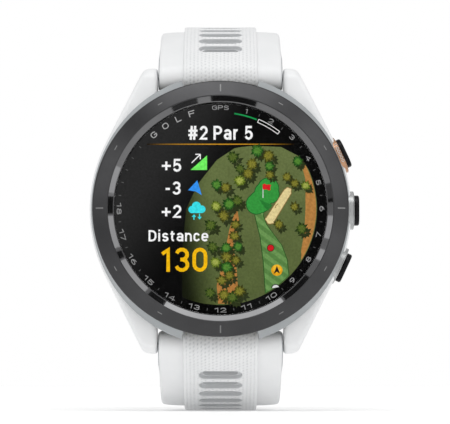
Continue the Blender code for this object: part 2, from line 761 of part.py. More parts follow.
def make_button(name, angle):
    axis = button_axis(name, angle)
    cap_inner = cap_outer - BUTTON_CAP_THICKNESS
    cap = plate(f"button_cap_{name}", [pill(BUTTON_LENGTH, BUTTON_WIDTH, 6)], cap_inner, cap_outer, axis)
    stem_top = cap_outer - BUTTON_CAP_THICKNESS / 2
    profile = [
        (0, stem_top),
        (STEM_RADIUS, stem_top),
        (STEM_RADIUS, clip_place + CLIP_HALF + CLIP_SPACE),
        (STEM_GROOVE_RADIUS, clip_place + CLIP_HALF + CLIP_SPACE),
        (STEM_GROOVE_RADIUS, clip_place - CLIP_HALF - CLIP_SPACE),
        (STEM_RADIUS, clip_place - CLIP_HALF - CLIP_SPACE),
        (STEM_RADIUS, stem_end),
        (0, stem_end),
    ]
    join(cap, turned(f"button_stem_{name}", profile, 16, axis, closed=False))
    finish(cap, "black_metal")

    ring = [(STEM_RADIUS + 0.05 + SEAL_RADIUS * (1 - cos(turn)), seal_place + SEAL_RADIUS * sin(turn))
            for turn in [2 * pi * i / 8 for i in range(8)]]
    finish(turned(f"button_seal_{name}", ring, 16, axis), "black_rubber")

    opening = pi / 5
    outer = arc((0, 0), STEM_RADIUS + 0.6, opening, 2 * pi - opening, 14)
    inner = arc((0, 0), STEM_GROOVE_RADIUS + 0.06, 2 * pi - opening, opening, 12)
    clip = plate(f"button_clip_{name}", [outer + inner], clip_place - CLIP_HALF, clip_place + CLIP_HALF, axis)
    finish(clip, "steel")

    guard = plate(
        f"button_guard_{name}",
        [pill(guard_length, guard_width, 6),
         pill(BUTTON_LENGTH + 2 * BUTTON_CLEARANCE, BUTTON_WIDTH + 2 * BUTTON_CLEARANCE, 6)],
        guard_floor,
        guard_outer,
        axis,
    )
    finish(guard, "copper_metal" if name == "top" else "pale_metal")

    switch_top = stem_end - BUTTON_TRAVEL - RUNNING_GAP
    lift = board_bottom - STACK_GAP - button_height - SWITCH_SIZE[1] / 2
    centre = (0, min(lift, SWITCH_SIZE[1] / 4), switch_top - SWITCH_SIZE[2] / 2)
    switch = block(f"button_switch_{name}", SWITCH_SIZE, centre, axis)
    finish(switch, "dark_polymer")


# ---------------------------------------------------------------- strap
def loop_centre(length):
    """The arc that the loop follows so far along its outer face: its centre, radius and turn there."""
    if length < front_length:
        return (0, front_centre), front_radius, knuckle_angle + length / front_radius
    if length < front_length + side_length:
        turn = pi / 2 + (length - front_length) / LOOP_SIDE_RADIUS
        return (-side_offset, front_centre), LOOP_SIDE_RADIUS, turn
    turn = pi / 2 + side_sweep + (length - front_length - side_length) / rear_radius
    return (0, rear_centre), rear_radius, turn


def loop_point(length, depth):
    """A point of the loop seen from the side: so far along its outer face, and so deep below it."""
    centre, radius, turn = loop_centre(length)
    return centre[0] + (radius - depth) * sin(turn), centre[1] + (radius - depth) * cos(turn)


def thickness_at(length, total, end_thickness):
    """The strap is as thick as its knuckle at the lug, and soon thins to its own thickness."""
    head = 2 * KNUCKLE_RADIUS - BAND_PROUD
    near = max(0.0, 1 - length / TAPER_LENGTH) ** 2
    body = STRAP_THICKNESS + (end_thickness - STRAP_THICKNESS) * length / total
    return body + (head - body) * near


def strap_side(total, reach, end_thickness, depth, inset, round_end):
    """One layer of a strap half seen from the side: its knuckle round the bar, its two faces and its end."""
    steps = max(6, round(reach / 3.2))
    places = [reach * i / steps for i in range(steps + 1)]
    outer = [loop_point(place, depth) for place in places[1:]]
    inner = [loop_point(place, thickness_at(place, total, end_thickness) - inset) for place in places]
    inner.reverse()
    start = 3 * pi / 2 - knuckle_angle - (0.8 if inset else 0)
    knuckle = arc((bar_reach, bar_height), KNUCKLE_RADIUS - depth, start, pi / 2 - knuckle_angle, 12)
    if not round_end:
        return knuckle + outer + inner[:-1]
    turn = loop_centre(reach)[2]
    half = (thickness_at(reach, total, end_thickness) - depth) / 2
    middle = loop_point(reach, depth + half)
    end = arc(middle, half, pi / 2 - turn, -pi / 2 - turn, 8)
    return knuckle + outer[:-1] + end + inner[1:-1]


def on_bar(points):
    """Outline points taken from the case's axes to those of the spring bar."""
    return [(x - bar_reach, y - bar_height) for x, y in points]


def slot_tool(name, length, width, place, frame):
    """A pill-shaped cutter that stands square to the strap's face at a place along it."""
    turn = loop_centre(place)[2]
    x, y = on_bar([loop_point(place, STRAP_THICKNESS / 2)])[0]
    tool = plate(name, [pill(length, width)], -6, 6, frame)
    tool.location = Vector((x, y, 0)) * MM
    across = Vector((0, 0, 1))
    normal = Vector((sin(turn), cos(turn), 0))
    tool.rotation_euler = Matrix((across, normal.cross(across), normal)).transposed().to_euler()
    return tool


def make_strap(name, direction, total, end_thickness):
    """One strap half on its spring bar. In its frame X runs away from the dial, Y up and Z along the bar."""
    frame = joint_axis(
        f"strap_axis_{name}", (0, direction * bar_reach, bar_height), (pi / 2, 0, direction * pi / 2)
    )
    half = STRAP_WIDTH / 2
    side = on_bar(strap_side(total, total, end_thickness, BAND_PROUD, 0, True))
    strap = plate(f"strap_{name}", [side], -half, half, frame)
    middle = on_bar(strap_side(total, total - BAND_END, end_thickness, 0, 0.35, False))
    join(strap, plate(f"strap_band_{name}", [middle], -BAND_WIDTH / 2, BAND_WIDTH / 2, frame))
    cut(strap, disc(f"bar_bore_{name}", BAR_BORE, -half - 2, half + 2, 16, frame))
    knob_middle = half - RELEASE_FROM_EDGE
    knob_slot = (
        2 * (RELEASE_KNOB_RADIUS + BUTTON_CLEARANCE),
        2 * KNUCKLE_RADIUS,
        2 * (RELEASE_KNOB_RADIUS + BUTTON_CLEARANCE) + RELEASE_TRAVEL,
    )
    centre = (0, -KNUCKLE_RADIUS, knob_middle - RELEASE_TRAVEL / 2)
    cut(strap, block(f"release_slot_{name}", knob_slot, centre, frame))
    for index in range(SLOT_COUNT):
        place = SLOT_START + index * SLOT_PITCH
        cut(strap, slot_tool(f"vent_{name}_{index}", SLOT_LENGTH, SLOT_WIDTH, place, frame))
    return finish(strap, "white_silicone"), frame


def make_spring_bar(name, frame):
    """The strap's bar: a tube with a fixed pin at one end, and a sliding release pin at the other."""
    half = STRAP_WIDTH / 2
    pin_end = lug_inner + BAR_HOLE_DEPTH - 0.3
    collar = half - RELEASE_FROM_EDGE
    tube_end = collar - RELEASE_KNOB_RADIUS - RELEASE_TRAVEL - 0.4
    bore_depth = 5.0
    profile = [
        (BAR_PIN_RADIUS + 0.08, tube_end),
        (BAR_RADIUS, tube_end),
        (BAR_RADIUS, -half + RUNNING_GAP),
        (BAR_PIN_RADIUS, -half + RUNNING_GAP),
        (BAR_PIN_RADIUS, -pin_end),
        (0, -pin_end),
        (0, tube_end - bore_depth),
        (BAR_PIN_RADIUS + 0.08, tube_end - bore_depth),
    ]
    bar = turned(f"spring_bar_{name}", profile, 16, frame)
    finish(bar, "steel")
    profile = [
        (0, pin_end),
        (BAR_PIN_RADIUS, pin_end),
        (BAR_PIN_RADIUS, collar + RELEASE_KNOB_RADIUS + RELEASE_TRAVEL),
        (BAR_RADIUS, collar + RELEASE_KNOB_RADIUS + RELEASE_TRAVEL),
        (BAR_RADIUS, collar - RELEASE_KNOB_RADIUS),
        (BAR_PIN_RADIUS, collar - RELEASE_KNOB_RADIUS),
        (BAR_PIN_RADIUS, tube_end - bore_depth + RELEASE_TRAVEL + 0.3),
        (0, tube_end - bore_depth + RELEASE_TRAVEL + 0.3),
    ]
    pin = turned(f"release_pin_{name}", profile, 16, frame, closed=False)
    knob = disc(f"release_knob_{name}", RELEASE_KNOB_RADIUS - 0.1, 0, KNUCKLE_RADIUS, 16, frame)
    knob.rotation_euler = (pi / 2, 0, 0)
    knob.location = Vector((0, -KNUCKLE_RADIUS / 2, collar)) * MM
    finish(join(pin, knob), "steel")


# ---------------------------------------------------------------- buckle and keepers
def make_buckle(strap, frame):
    """A frame and a tongue on one pin through the end of the upper strap half."""
    turn = loop_centre(UPPER_LENGTH)[2]
    eye_depth = BAND_PROUD + (thickness_at(UPPER_LENGTH, UPPER_LENGTH, STRAP_THICKNESS) - BAND_PROUD) / 2
    x, y = on_bar([loop_point(UPPER_LENGTH, eye_depth)])[0]
    axis = joint_axis("buckle_axis", (x, y, 0), (0, 0, -turn), frame)
    half = STRAP_WIDTH / 2
    cut(strap, disc("buckle_bore", BUCKLE_PIN_BORE, -half - 2, half + 2, 16, axis))
    notch = (2 * TONGUE_ROOM + 4, 8, TONGUE_WIDTH + 2 * BUTTON_CLEARANCE + 0.4)
    cut(strap, block("tongue_notch", notch, (2, 0, 0), axis))

    inner = half + BUCKLE_SIDE_GAP
    outer = inner + BUCKLE_BAR
    tail = -BUCKLE_EYE_RADIUS
    far = BUCKLE_REACH
    outline = rounded([
        (tail, -outer, 0.8),
        (far + BUCKLE_BAR, -outer, 2.6),
        (far + BUCKLE_BAR, outer, 2.6),
        (tail, outer, 0.8),
        (tail, inner, 0.4),
        (far, inner, 1.2),
        (far, -inner, 1.2),
        (tail, -inner, 0.4),
    ], 4)
    buckle = plate("buckle_frame", [outline], -BUCKLE_BAR / 2, BUCKLE_BAR / 2, axis)
    buckle.rotation_euler = (pi / 2, 0, 0)
    buckle.location = (0, 0, 0)
    cut(buckle, disc("pin_seat", BUCKLE_PIN_RADIUS + RUNNING_GAP / 2, -outer - 2, outer + 2, 16, axis))
    finish(buckle, "steel")
    finish(disc("buckle_pin", BUCKLE_PIN_RADIUS, 0.4 - outer, outer - 0.4, 16, axis), "steel")

    rest = BUCKLE_BAR / 2 + BUTTON_CLEARANCE
    top = rest + TONGUE_THICKNESS
    tip = far + BUCKLE_BAR + 0.4
    nose = [(tip, rest), (tip + 0.3, rest + 0.3), (tip - 0.8, top)]
    arm = [(-0.8, 0.4), (1.2, rest)] + nose + [(0.4, top), (-1.2, 1.1)]
    side = TONGUE_WIDTH / 2
    tongue = plate("buckle_tongue", [arm], -side, side, axis)
    join(tongue, disc("tongue_eye", BUCKLE_EYE_RADIUS, 0.02 - side, side - 0.02, 20, axis))
    cut(tongue, disc("tongue_bore", BUCKLE_PIN_BORE, -3, 3, 16, axis))
    finish(tongue, "steel")


def keeper_outline():
    half = STRAP_WIDTH / 2 + KEEPER_GAP
    low = -STRAP_THICKNESS - KEEPER_GAP
    wall = KEEPER_WALL
    outer = rounded([
        (half + wall, KEEPER_ROOM + wall, 2), (-half - wall, KEEPER_ROOM + wall, 2),
        (-half - wall, low - wall, 2), (half + wall, low - wall, 2),
    ], 3)
    inner = rounded([(half, KEEPER_ROOM, 0.4), (-half, KEEPER_ROOM, 0.4), (-half, low, 0.4), (half, low, 0.4)])
    return [outer, inner]


def make_keeper(name, from_end, frame):
    """A loop round the strap, on an empty at the middle of the arc that the strap follows there."""
    centre, radius, turn = loop_centre(UPPER_LENGTH - from_end)
    x, y = on_bar([centre])[0]
    axis = joint_axis(f"{name}_axis", (x, y, 0), (0, 0, -turn), frame)
    keeper = plate(name, keeper_outline(), -KEEPER_LENGTH / 2, KEEPER_LENGTH / 2, axis)
    keeper.rotation_euler = (0, -pi / 2, 0)
    keeper.location = (0, radius * MM, 0)
    finish(keeper, "white_silicone")


def main():
    make_mid_case()
    make_bezel()
    make_bezel_gasket()
    make_lens()
    make_display()
    make_electronics()
    make_back()
    for name, angle in BUTTON_ANGLES.items():
        make_button(name, angle)
    upper, upper_frame = make_strap("upper", 1, UPPER_LENGTH, STRAP_THICKNESS)
    lower, lower_frame = make_strap("lower", -1, LOWER_LENGTH, TAIL_THICKNESS)
    make_spring_bar("upper", upper_frame)
    make_spring_bar("lower", lower_frame)
    for index in range(HOLE_COUNT):
        place = LOWER_LENGTH - HOLE_FROM_TAIL - index * HOLE_PITCH
        cut(lower, slot_tool(f"tail_hole_{index}", HOLE_LENGTH, HOLE_WIDTH, place, lower_frame))
    make_buckle(upper, upper_frame)
    make_keeper("keeper_fixed", KEEPER_FIXED_FROM_END, upper_frame)
    make_keeper("keeper_free", KEEPER_FREE_FROM_END, upper_frame)


main()
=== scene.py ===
"""Looks of the golf GPS watch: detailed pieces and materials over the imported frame."""

import json
import math
import random
from itertools import product
from math import atan2, cos, hypot, pi, radians, sin, sqrt

import bpy
import numpy as np
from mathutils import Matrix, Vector

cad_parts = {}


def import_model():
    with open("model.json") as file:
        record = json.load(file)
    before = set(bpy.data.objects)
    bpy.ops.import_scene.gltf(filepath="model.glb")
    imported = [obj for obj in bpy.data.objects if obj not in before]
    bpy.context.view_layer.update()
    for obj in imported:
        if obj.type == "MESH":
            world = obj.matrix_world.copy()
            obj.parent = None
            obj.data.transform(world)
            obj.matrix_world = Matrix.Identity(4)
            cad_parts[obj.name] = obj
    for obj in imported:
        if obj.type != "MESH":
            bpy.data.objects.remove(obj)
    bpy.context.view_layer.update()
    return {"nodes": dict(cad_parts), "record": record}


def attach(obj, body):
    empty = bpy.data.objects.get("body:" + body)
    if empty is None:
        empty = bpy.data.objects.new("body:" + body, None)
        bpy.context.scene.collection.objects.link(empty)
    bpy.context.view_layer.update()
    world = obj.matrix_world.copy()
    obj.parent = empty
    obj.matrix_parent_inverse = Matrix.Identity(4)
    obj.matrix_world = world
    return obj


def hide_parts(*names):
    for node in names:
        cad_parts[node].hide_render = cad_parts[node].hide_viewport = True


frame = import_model()
MM = 0.001


# ---- sizes shared with the CAD source, in millimetres
BEZEL_R, CREST_R = 20.5, 18.1
TOP, LENS_TOP, BEZEL_LOW = 12.6, 12.15, 10.75
PANEL_TOP = 10.38
CASE_TOP, SHOULDER_LOW = 10.3, 9.3
CASE_HALF, LUG_REACH, LUG_INNER, BAR_REACH, BAR_HEIGHT = 21.05, 23.3, 10.15, 21.7, 5.6
NOTCH_REACH, CAVITY_FLAT = 18.2, 16.9
STRAP_HALF, BAND_HALF, BAND_PROUD, KNUCKLE = 9.9, 6.0, 0.8, 3.25
UPPER, LOWER = 65.0, 76.0
KNUCKLE_ANGLE = 0.8397


def world(points):
    """Watch axes (X to the buttons, Y to twelve o'clock, Z out of the dial, mm) to the frame's, in metres."""
    p = np.asarray(points, float)
    return np.stack([p[..., 0], -p[..., 2], p[..., 1]], -1) * MM


# ---- materials
def nodes_of(material):
    material.use_nodes = True
    tree = material.node_tree
    return tree, tree.nodes, tree.links, tree.nodes["Principled BSDF"]


def settle(node, **constants):
    """Plain values for a node's own sockets."""
    for key, value in constants.items():
        node.inputs[key.replace("_", " ")].default_value = value


def noise(tree, scale, detail=3.0, stretch=None):
    coordinates = tree.nodes.new("ShaderNodeTexCoord")
    texture = tree.nodes.new("ShaderNodeTexNoise")
    settle(texture, Scale=scale, Detail=detail)
    if stretch:
        mapping = tree.nodes.new("ShaderNodeMapping")
        settle(mapping, Scale=stretch)
        tree.links.new(coordinates.outputs["Object"], mapping.inputs["Vector"])
        tree.links.new(mapping.outputs["Vector"], texture.inputs["Vector"])
    else:
        tree.links.new(coordinates.outputs["Object"], texture.inputs["Vector"])
    return texture


def spread(tree, source, low, high):
    ramp = tree.nodes.new("ShaderNodeMapRange")
    settle(ramp, From_Min=0.3, From_Max=0.7, To_Min=low, To_Max=high)
    tree.links.new(source, ramp.inputs["Value"])
    return ramp.outputs["Result"]


def mixed(tree, factor, first, second):
    mix = tree.nodes.new("ShaderNodeMix")
    mix.data_type = "RGBA"
    tree.links.new(factor, mix.inputs["Factor"])
    for colour, socket in ((first, mix.inputs[6]), (second, mix.inputs[7])):
        if isinstance(colour, tuple):
            socket.default_value = (*colour, 1)
        else:
            tree.links.new(colour, socket)
    return mix.outputs[2]


def surface(name, dark, light, rough=(0.4, 0.5), metallic=0.0, scale=300, grain=4000, bump=0.05,
            stretch=None, pit_and_painted_shade=None, **constants):
    """A two-tone noise colour, a noise roughness and a fine bump. Painted shade: where the mesh's attribute
    says so, the colour darkens towards a given shade colour.
    """
    material = bpy.data.materials.new(f"{name}_look")
    tree, nodes, links, shader = nodes_of(material)
    cloud = noise(tree, scale, 4.0, stretch)
    fine = noise(tree, grain, 2.0, stretch)
    colour = mixed(tree, spread(tree, cloud.outputs["Fac"], 0, 1), dark, light)
    # painted shade, mixed into the colour wherever the mesh's attribute asks for it
    if pit_and_painted_shade:
        attribute = nodes.new("ShaderNodeAttribute")
        attribute.attribute_name = "pit_and_painted_shade"
        colour = mixed(tree, attribute.outputs["Fac"], colour, pit_and_painted_shade)
    links.new(colour, shader.inputs["Base Color"])
    if isinstance(rough, tuple):
        links.new(spread(tree, fine.outputs["Fac"], *rough), shader.inputs["Roughness"])
    else:
        settle(shader, Roughness=rough)
    if bump:
        bumps = nodes.new("ShaderNodeBump")
        settle(bumps, Strength=bump, Distance=0.00002)
        links.new(fine.outputs["Fac"], bumps.inputs["Height"])
        links.new(bumps.outputs["Normal"], shader.inputs["Normal"])
    settle(shader, Metallic=metallic, **constants)
    return material

def srgb(*levels):
    return tuple(c / 255 / 12.92 if c <= 10 else ((c / 255 + 0.055) / 1.055) ** 2.4 for c in levels)


def greys(low, high):
    return (low,) * 3, (high,) * 3


WHITES = (0.80, 0.81, 0.815), (0.84, 0.845, 0.85)
# the last colour is painted shade for the strap's dimples, slots and sides beside the lugs
SILICONE = surface("white_silicone", *WHITES, (0.5, 0.62), scale=180, grain=9000, bump=0.12,
                   pit_and_painted_shade=(0.30, 0.32, 0.34))
WHITE = surface("white_polymer", *WHITES, (0.34, 0.42), scale=150, grain=12000, bump=0.04)
# the white case's shoulder, coloured grey as painted shade under the bezel
SHOULDER_PAINTED_SHADE = surface("shoulder_painted_shade", (0.32, 0.34, 0.35), (0.38, 0.40, 0.41), (0.38, 0.48), scale=150,
                   grain=12000, bump=0.04)
CERAMIC = surface("bezel_satin", (0.046, 0.046, 0.048), (0.066, 0.066, 0.068), (0.28, 0.36), 0.85, scale=90,
                  grain=6000)
POLISHED = surface("bezel_polish", (0.13, 0.13, 0.133), (0.155, 0.155, 0.158), (0.03, 0.05), 0.95, scale=120,
                   grain=9000, bump=0.0)
MARK = surface("bezel_mark", *greys(0.17, 0.23), (0.4, 0.5), 0.4, scale=600)
BLACK_METAL = surface("button_black", (0.012, 0.012, 0.013), (0.02, 0.02, 0.021), (0.28, 0.4), 1.0, scale=500)
BRIGHT = surface("guard_mark", (0.66, 0.63, 0.60), (0.74, 0.71, 0.68), (0.35, 0.45), 0.3, scale=600)
COPPER = surface("guard_copper", (0.46, 0.25, 0.14), (0.56, 0.32, 0.19), (0.3, 0.4), 0.8, scale=500)
PALE = surface("guard_pale", (0.42, 0.43, 0.43), (0.5, 0.51, 0.51), (0.32, 0.42), 0.6, scale=500)
RUBBER = surface("black_rubber", *greys(0.012, 0.022), (0.65, 0.8), scale=600, bump=0.2)
STEEL = surface("brushed_steel", (0.50, 0.50, 0.51), (0.62, 0.62, 0.63), (0.22, 0.38), 1.0, scale=900,
                grain=2500, bump=0.1, stretch=(1, 12, 12))
BOARD = surface("green_board", (0.008, 0.09, 0.035), (0.015, 0.15, 0.06), scale=700)
FOIL = surface("foil_wrap", (0.45, 0.46, 0.47), (0.6, 0.61, 0.62), (0.25, 0.45), 0.8, scale=260, bump=0.4)
DARK = surface("dark_polymer", (0.035, 0.035, 0.038), (0.055, 0.055, 0.06), (0.42, 0.55), grain=7000,
               bump=0.15)
GOLD = surface("gold_contact", (0.75, 0.5, 0.18), (0.85, 0.62, 0.28), (0.18, 0.3), 1.0, scale=900)
BLACK_SCREEN = surface("black_display", (0.001, 0.001, 0.001), (0.003, 0.003, 0.0035), (0.5, 0.6), scale=100,
                       bump=0.0, Specular_IOR_Level=0.1)
GLASS = surface("clear_glass", (0.98, 0.985, 0.99), (1, 1, 1), 0.0, scale=60, bump=0.0,
                Transmission_Weight=1.0, IOR=1.45, Specular_IOR_Level=0.12)
SMOKE = surface("dark_glass", (0.012, 0.012, 0.014), (0.02, 0.02, 0.022), (0.04, 0.08), scale=200, bump=0.0,
                Coat_Weight=0.4)
FLOOR = surface("floor", *greys(0.90, 0.93), (0.6, 0.7), scale=6, grain=60, bump=0.0,
                Specular_IOR_Level=0.1, Emission_Color=(1, 1, 1, 1), Emission_Strength=0.2)

SLOT_LOOKS = {
    "white_polymer": WHITE, "grey_ceramic": CERAMIC, "black_rubber": RUBBER, "clear_glass": GLASS,
    "dark_glass": SMOKE, "black_display": BLACK_SCREEN, "brushed_steel": STEEL, "green_board": BOARD,
    "foil_wrap": FOIL, "dark_polymer": DARK, "gold_contact": GOLD, "black_metal": BLACK_METAL,
    "copper_metal": COPPER, "pale_metal": PALE, "copper_coil": COPPER, "white_silicone": SILICONE,
}


# ---- piece helpers
def linked(name, data):
    obj = bpy.data.objects.new(name, data)
    bpy.context.scene.collection.objects.link(obj)
    return obj


def mesh_object(name, points, faces, material=None):
    """An object from points in metres."""
    mesh = bpy.data.meshes.new(name)
    mesh.from_pydata(np.asarray(points, float).tolist(), [], [list(map(int, face)) for face in faces])
    if material:
        mesh.materials.append(material)
    return linked(name, mesh)


def piece(name, points, faces, material, body, replaces=(), slot=None, crease=35, flat=False):
    """A mesh piece from points in watch axes (mm), riding on a body."""
    obj = mesh_object(name, world(points), faces, material)
    obj.data.validate()
    obj.data.update()
    if not flat:
        obj.data.shade_smooth()
        obj.data.set_sharp_from_angle(angle=radians(crease))
    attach(obj, body)
    if replaces:
        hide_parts(*replaces)
    return obj


def grid_faces(rows, columns, around=True, along=False):
    """Quads over a grid of rows x columns points, closed round the columns, and along the rows if asked."""
    i = np.arange(rows if along else rows - 1)[:, None]
    j = np.arange(columns if around else columns - 1)[None, :]
    a = i * columns + j
    b = i * columns + (j + 1) % columns
    c = (i + 1) % rows * columns + (j + 1) % columns
    d = (i + 1) % rows * columns + j
    return np.stack([a, b, c, d], -1).reshape(-1, 4)


def turned(profile, segments, closed=True, half_length=0.0, phase=0.0):
    """Points and faces of a profile (radius, height) turned about Z, drawn out along X by half_length."""
    turns = (np.arange(segments) + phase) * 2 * pi / segments
    profile = np.array(profile, float)
    x = np.outer(profile[:, 0], np.cos(turns)) + np.where(np.cos(turns) > 0, half_length, -half_length)
    y = np.outer(profile[:, 0], np.sin(turns))
    z = np.repeat(profile[:, 1:2], segments, 1)
    points = np.stack([x, y, z], -1).reshape(-1, 3)
    faces = [list(f) for f in grid_faces(len(profile), segments, True, closed)]
    if not closed:
        faces.insert(0, list(range(segments))[::-1])
        last = (len(profile) - 1) * segments
        faces.append(list(range(last, last + segments)))
    return points, faces


def facing_out(points, faces):
    """The faces, all turned round if the solid they close is inside out."""
    fans = np.array([(f[0], f[k], f[k + 1]) for f in faces for k in range(1, len(f) - 1)])
    a, b, c = np.asarray(points, float)[fans].transpose(1, 0, 2)
    return faces if (a * np.cross(b, c)).sum() > 0 else [list(face)[::-1] for face in faces]


def rounded_path(corners, steps=4):
    """An open path through (x, y, radius) corners, with the ends kept."""
    path = [corners[0][:2]]
    for before, here, after in zip(corners, corners[1:], corners[2:]):
        p, q, r = (np.array(c[:2], float) for c in (before, here, after))
        radius = here[2] if len(here) > 2 else 0
        if radius <= 0:
            path.append(tuple(q))
            continue
        u, v = (p - q) / np.linalg.norm(p - q), (r - q) / np.linalg.norm(r - q)
        half = math.acos(np.clip(u @ v, -1, 1)) / 2
        reach = radius / math.tan(half)
        middle = q + (u + v) / np.linalg.norm(u + v) * (radius / sin(half))
        first, last = q + u * reach - middle, q + v * reach - middle
        start = atan2(first[1], first[0])
        turn = atan2(first[0] * last[1] - first[1] * last[0], first @ last)
        for angle in (start + turn * i / steps for i in range(steps + 1)):
            path.append(tuple(middle + radius * np.array([cos(angle), sin(angle)])))
    path.append(corners[-1][:2])
    return path


def turned_piece(name, profile, segments, material, body, closed=True, **more):
    points, faces = turned(profile, segments, closed)
    return piece(name, points, facing_out(points, faces), material, body, **more)


# ---- signed distances and their surface
def polygon_distance(x, y, outline):
    """Signed distance from points to a closed outline, negative inside."""
    a = np.array(outline, float)
    b = np.roll(a, -1, 0)
    best = np.full(x.shape, 1e9)
    inside = np.zeros(x.shape, bool)
    for (ax, ay), (bx, by) in zip(a, b):
        ex, ey = bx - ax, by - ay
        if abs(ex) + abs(ey) < 1e-9:
            continue
        t = np.clip(((x - ax) * ex + (y - ay) * ey) / (ex * ex + ey * ey), 0, 1)
        best = np.minimum(best, (x - ax - t * ex) ** 2 + (y - ay - t * ey) ** 2)
        crosses = (ay > y) != (by > y)
        with np.errstate(divide="ignore", invalid="ignore"):
            inside ^= crosses & (x < (bx - ax) * (y - ay) / (by - ay if by != ay else 1e-12) + ax)
    return np.where(inside, -1, 1) * np.sqrt(best)


def round_and(a, b, radius):
    """Both shapes at once, with the edge where they meet rounded."""
    u, v = np.maximum(radius + a, 0), np.maximum(radius + b, 0)
    return np.minimum(-radius, np.maximum(a, b)) + np.sqrt(u * u + v * v)


def net_surface(values, low, step):
    """Quads on the zero of a field sampled on a grid."""
    inside = values < 0
    shape = np.array(values.shape) - 1
    total, count = np.zeros((*shape, 3)), np.zeros(shape)

    def part(array, corner):
        return array[tuple(slice(k, k + n) for k, n in zip(corner, shape))]

    for a in product((0, 1), repeat=3):
        for axis in range(3):
            if a[axis]:
                continue
            b = tuple(1 if n == axis else a[n] for n in range(3))
            va, vb = part(values, a), part(values, b)
            crosses = part(inside, a) != part(inside, b)
            with np.errstate(divide="ignore", invalid="ignore"):
                t = np.where(crosses, va / (va - vb), 0)
            for n in range(3):
                total[..., n] += np.where(crosses, a[n] + (t if n == axis else 0), 0)
            count += crosses
    used = count > 0
    index = -np.ones(shape, int)
    index[used] = np.arange(used.sum())
    points = low + step * (np.argwhere(used) + total[used] / count[used][:, None])
    quads = []
    for axis in range(3):
        others = [n for n in range(3) if n != axis]
        a, b = (np.moveaxis(inside, axis, 0)[part] for part in (slice(0, -1), slice(1, None)))
        for flip, edges in ((False, a & ~b), (True, b & ~a)):
            edges = np.argwhere(np.moveaxis(edges, 0, axis))
            edges = edges[((edges > 0) & (edges < shape))[:, others].all(1)]
            ring = []
            for shift in ((0, 0), (1, 0), (1, 1), (0, 1)):
                at = edges.copy()
                at[:, others] -= shift
                ring.append(index[tuple(at.T)])
            quad = np.stack(ring, -1)
            quads.append(quad[:, ::-1] if flip != (axis == 1) else quad)
    return points, np.concatenate(quads)


# ---- case
def case_outline():
    centre, slope = CASE_HALF - 24.0, math.atan(0.5)
    quarter = [(centre + 24 * cos(slope * i / 12), 24 * sin(slope * i / 12)) for i in range(12)]
    end = (centre + 24 * cos(slope), 24 * sin(slope))
    tip = end[0] - 0.5 * (LUG_REACH - end[1])
    quarter += rounded_path([(end[0], end[1]), (tip, LUG_REACH, 1.8), (LUG_INNER, LUG_REACH, 0.4),
                             (LUG_INNER, 12)], 8)
    quarter.append((0, 12))
    upper = quarter + [(-x, y) for x, y in reversed(quarter)]
    return upper + [(-x, -y) for x, y in upper]


def case_side():
    half = [(12.67, SHOULDER_LOW, 2.5), (BAR_REACH, 8.1, 1.2), (LUG_REACH, 6.9, 1.0), (LUG_REACH, 3.5, 0.9),
            (22.4, 2.3, 0.6), (17.8, 2.9, 0.4)]
    loop = [(0, SHOULDER_LOW)] + half + [(0, 2.9)]
    right = rounded_path(loop, 5)
    return right + [(-x, y) for x, y in reversed(right[1:-1])]


def make_case():
    """The shell as one smooth surface, and the shoulder under the bezel, its grey colour painted shade from
    the bezel's edge.
    """
    step = 0.22
    low = np.array([-22.2, -24.4, 1.6])
    x, y, z = (low[n] + step * np.arange(count) for n, count in enumerate((202, 222, 42)))
    plan = polygon_distance(*np.meshgrid(x, y, indexing="ij"), case_outline())
    side = polygon_distance(*np.meshgrid(y, z, indexing="ij"), case_side())
    field = round_and(plan[:, :, None], side[None, :, :], 0.75)
    xx, yy, zz = x[:, None, None], y[None, :, None], z[None, None, :]
    notch = np.maximum(np.abs(xx) - LUG_INNER, NOTCH_REACH - np.abs(yy) + 0 * zz)
    field = np.maximum(field, -notch)
    radius = np.sqrt(xx**2 + yy**2)
    cavity = np.maximum(np.maximum(radius - 18.4, np.abs(yy) - CAVITY_FLAT) + 0 * zz, -1e3)
    field = np.maximum(field, -cavity)
    for turn in (25, 0, -25):
        along = xx * cos(radians(turn)) + yy * sin(radians(turn))
        across = -xx * sin(radians(turn)) + yy * cos(radians(turn))
        pill = np.sqrt(np.maximum(np.abs(across) - 0.95, 0) ** 2 + (zz - 6.3) ** 2) - 2.35
        field = np.maximum(field, -np.maximum(pill, 20.7 - along))
    points, quads = net_surface(field, low, step)
    piece("case_shell", points, facing_out(points, quads), WHITE, "case", ["mid_case"], "white_polymer", 40)

    gap = math.degrees(math.asin((BAND_HALF + 0.12) / 21.2))
    for side_name, first, last in (("right", -90, 90), ("left", 90, 270)):
        made = []
        for turn in np.radians(np.linspace(first + gap, last - gap, 161)):
            foot = 1 / sqrt((cos(turn) / 20.78) ** 2 + (sin(turn) / 21.8) ** 2)
            section = [(BEZEL_R - 0.03, CASE_TOP + 0.40), (BEZEL_R + 0.01, CASE_TOP),
                       (foot - 0.12, SHOULDER_LOW + 0.1), (foot, SHOULDER_LOW - 0.04),
                       (18.45, SHOULDER_LOW - 0.04), (18.45, CASE_TOP + 0.40)]
            made.append([(r * cos(turn), r * sin(turn), h) for r, h in section])
        rows, columns = len(made), len(section)
        points = np.array(made).reshape(-1, 3)
        faces = [list(f) for f in grid_faces(rows, columns)]
        faces += [list(range(columns))[::-1], list(range((rows - 1) * columns, rows * columns))]
        # painted shade: the shoulder is white polymer, drawn grey for the shade under the bezel
        piece(f"case_shoulder_{side_name}", points, facing_out(points, faces), SHOULDER_PAINTED_SHADE, "case", ["mid_case"],
              "white_polymer", 30)


# ---- bezel and lens
def land_height(radius):
    return TOP - 0.7 * (radius - CREST_R) / (BEZEL_R - 0.15 - CREST_R)


